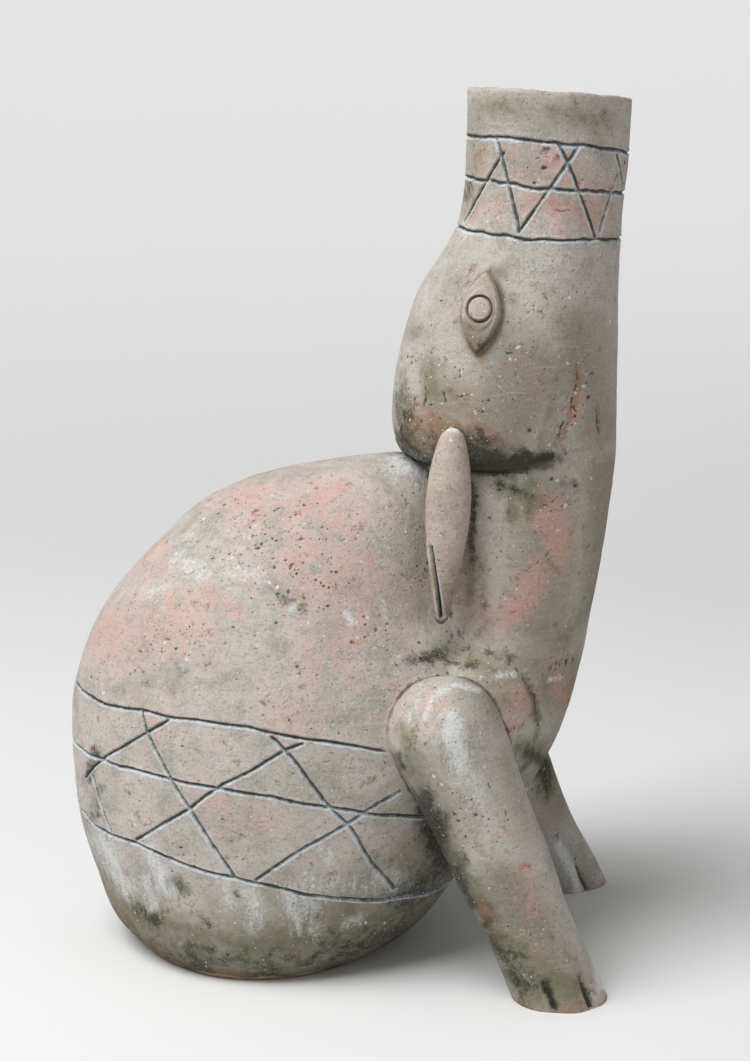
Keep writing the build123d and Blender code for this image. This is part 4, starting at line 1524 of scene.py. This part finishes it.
def eye_profile():
    """
    An eye pad's section from root to pocket. Each row is a share from almond to circle, a share of the
    outline's size and how far out it is: a straight side, a rounded shoulder, a face that swells, an edge and
    the pocket.
    """
    rise = pad_face - pad_shoulder
    rows = [(0.0, 0.0, pad_root)]
    rows += [(0.0, 1.0, out) for out in np.linspace(pad_root, pad_shoulder, 26)]
    rows += [(0.22 - 0.22 * cos(a), 1.0, pad_shoulder + rise * sin(a)) for a in np.linspace(0.1, pi / 2, 14)]
    for share in np.linspace(0.24, 0.96, 34):
        rows.append((share, 1.0, pad_face + 0.3 * sin(pi * share) + 0.8 * ease(share, 0.62, 0.9)))
    rows += [(1.0, 1.02 - 0.04 * k / 5, pad_edge - 0.8 * (k / 5) ** 2) for k in range(6)]
    rows += [(1.0, 0.96, out) for out in np.linspace(pocket_floor + 0.6, pocket_floor + 0.1, 3)]
    rows += [(1.0, size, pocket_floor) for size in np.linspace(0.9, 0.0, 6)]
    return (np.array(rows)[:, k][:, None] for k in range(3))


def eye(side):
    """
    An almond pad: rows go from its root up its side, over its edge and in to the floor of a round pocket, and
    their outline changes from two arcs that meet at the ends, by a straight share, to the pocket's circle.
    """
    turn = turns(240)
    along = almond_length * np.sin(turn)
    half = (np.sqrt(almond_curve**2 - along**2) - almond_curve + almond_half).clip(0)
    across = np.sign(np.cos(turn)) * half
    share, size, out = eye_profile()
    laid = eye_place(
        size * ((1 - share) * across + share * (pocket_half_wide * np.cos(turn))),
        size * ((1 - share) * (along - almond_drop) + share * (pocket_half_wide * np.sin(turn))),
        out + 0 * turn,
    )
    points, marks = clay_skin(laid, lumps=0.5, rough=0.3, stained=0.5)
    level = np.ones_like(turn)
    below = -laid @ eye_along + eye_middle @ eye_along
    marks["carved"] = 0.55 * ease(-out, -4.9, -3.6) * ease(share, 0.9, 1.0) * level
    marks["joint"] = 0.5 * ease(1.4 - out, 0, 1.6) * level
    # Soot and painted shade: darker and browner towards the pad's lower end.
    marks["soot_and_shadow"] = 0.75 * ease(below, 5, 21)
    marks["tan"] = 1.3 * ease(below, 0, 12)
    marks["olive"] = np.maximum(marks["olive"], 0.7 * ease(3.6 - out, 0, 2.4) * level)
    return applied(side, "eye", points, marks)


def pellet_profile():
    """
    A pupil's section from its foot up its side, over a rounded edge and in over a domed face, as sizes and
    outs.
    """
    flat = pellet_half_wide - pellet_rounding
    face = pellet_shoulder + pellet_rounding
    rows = [(0.0, pocket_floor)]
    rows += [(pellet_half_wide, out) for out in np.linspace(pocket_floor, pellet_shoulder, 5)]
    for a in np.linspace(0.15, pi / 2, 9):
        rows.append((flat + pellet_rounding * cos(a), pellet_shoulder + pellet_rounding * sin(a)))
    rows += [(size, face + pellet_crown * (1 - (size / flat) ** 2)) for size in np.linspace(3.7, 0.0, 14)]
    return (np.array(rows)[:, k][:, None] for k in range(2))


def pupil(side):
    """A round pellet with a slightly domed face, set in the eye pad's pocket."""
    turn = turns(120)
    size, out = pellet_profile()
    laid = eye_place(size * np.cos(turn), size * np.sin(turn), out + 0 * turn)
    points, marks = clay_skin(laid, lumps=0.3, rough=0.3, stained=0.3)
    marks["carved"] = 0.5 * ease(-out, -5.0, -3.8) * np.ones_like(turn)
    return applied(side, "pupil", points, marks)


slab()
body_pieces()
neck_wall()
head_wall()
muzzle_wall()
for side in SIDES:
    breast(side)
    foreleg(side)
    ear(side)
    eye(side)
    pupil(side)


# Floor, light and camera, in metres
floor_near, floor_far, floor_half_wide, sweep_high = -4.0, 0.9, 6.0, 6.0
sweep_deep, sweep_bend = 2.4, 40
paper_grey, paper_pale, paper_light = shade(228, 228, 227), shade(234, 234, 232), shade(236, 236, 235)


def paper():
    """
    The sweep's pale paper. Towards the back it shows its own light to the camera and in reflections, which it
    doesn't cast on the vessel, so the backdrop is as even as the floor.
    """
    paint = Paint("paper")
    colour = paint.over(paint.noise(400.0, 2.0), paper_grey, paper_pale)
    plain_paper = paint.node("ShaderNodeBsdfDiffuse", {}, {"Color": colour})
    own_light = paint.node("ShaderNodeEmission", {}, {"Color": paper_light})
    depth = paint.node("ShaderNodeSeparateXYZ", {}, {0: paint.place}, 1)
    seen = 0
    for ray in ("Is Camera Ray", "Is Glossy Ray", "Is Transmission Ray"):
        seen = paint.node("ShaderNodeLightPath", {}, {}, ray) + seen
    share = paint.between(depth, 0.3, 2.6, 0.0, 0.85) * seen
    surface = paint.node("ShaderNodeMixShader", {}, {0: share, 1: plain_paper, 2: own_light})
    paint.node("ShaderNodeOutputMaterial", {}, {"Surface": surface})
    return paint.material


def ground():
    """A pale sweep: a floor that curves up behind into a backdrop, as one profile carried sideways."""
    bend = np.linspace(0, pi / 2, sweep_bend)
    along = np.concatenate([[floor_near], floor_far + sweep_deep * np.sin(bend), [floor_far + sweep_deep]])
    rise = np.concatenate([[0.0], sweep_deep - sweep_deep * np.cos(bend), [sweep_high]])
    points = [(side * floor_half_wide, y, z) for side in SIDES for y, z in zip(along, rise)]
    count = len(along)
    faces = [(k, k + count, k + count + 1, k + 1) for k in range(count - 1)]
    mesh = bpy.data.meshes.new("floor")
    mesh.from_pydata(points, [], faces)
    mesh.shade_smooth()
    mesh.materials.append(paper())
    link(bpy.data.objects.new("floor", mesh))


def lamp(name, place, size, power, tint):
    """A soft square lamp at a place, turned to face the vessel's middle."""
    light = bpy.data.lights.new(name, "AREA")
    light.size, light.energy, light.color = size, power, tint
    holder = link(bpy.data.objects.new(name, light))
    holder.location = place
    toward = mathutils.Vector((0.0, 0.0, 0.2)) - mathutils.Vector(place)
    holder.rotation_euler = toward.to_track_quat("-Z", "Y").to_euler()


def room():
    """A weak even light from all around."""
    world = bpy.data.worlds.new("room")
    bpy.context.scene.world = world
    world.use_nodes = True
    light = world.node_tree.nodes["Background"].inputs
    light["Color"].default_value = (1.0, 1.0, 1.0, 1.0)
    light["Strength"].default_value = 0.30


def photo_camera():
    """The camera that took the photo."""
    camera = bpy.data.cameras.new("camera")
    camera.sensor_fit, camera.sensor_width = "AUTO", 36.0
    camera.lens = camera.sensor_width * focal_pixels / photo_high
    viewer = link(bpy.data.objects.new("camera", camera))
    viewer.location = camera_place * MILLIMETRE
    viewer.rotation_euler = (pi / 2 - camera_dip, 0, camera_turn)
    bpy.context.scene.camera = viewer


ground()
lamp("sky_light", (-0.95, -0.8, 2.2), 1.5, 62.0, (0.97, 0.99, 1.0))
lamp("fill_light", (1.5, -1.3, 0.9), 1.4, 2.0, (1.0, 0.99, 0.97))
room()
photo_camera()
bpy.context.scene.view_settings.view_transform = "Standard"
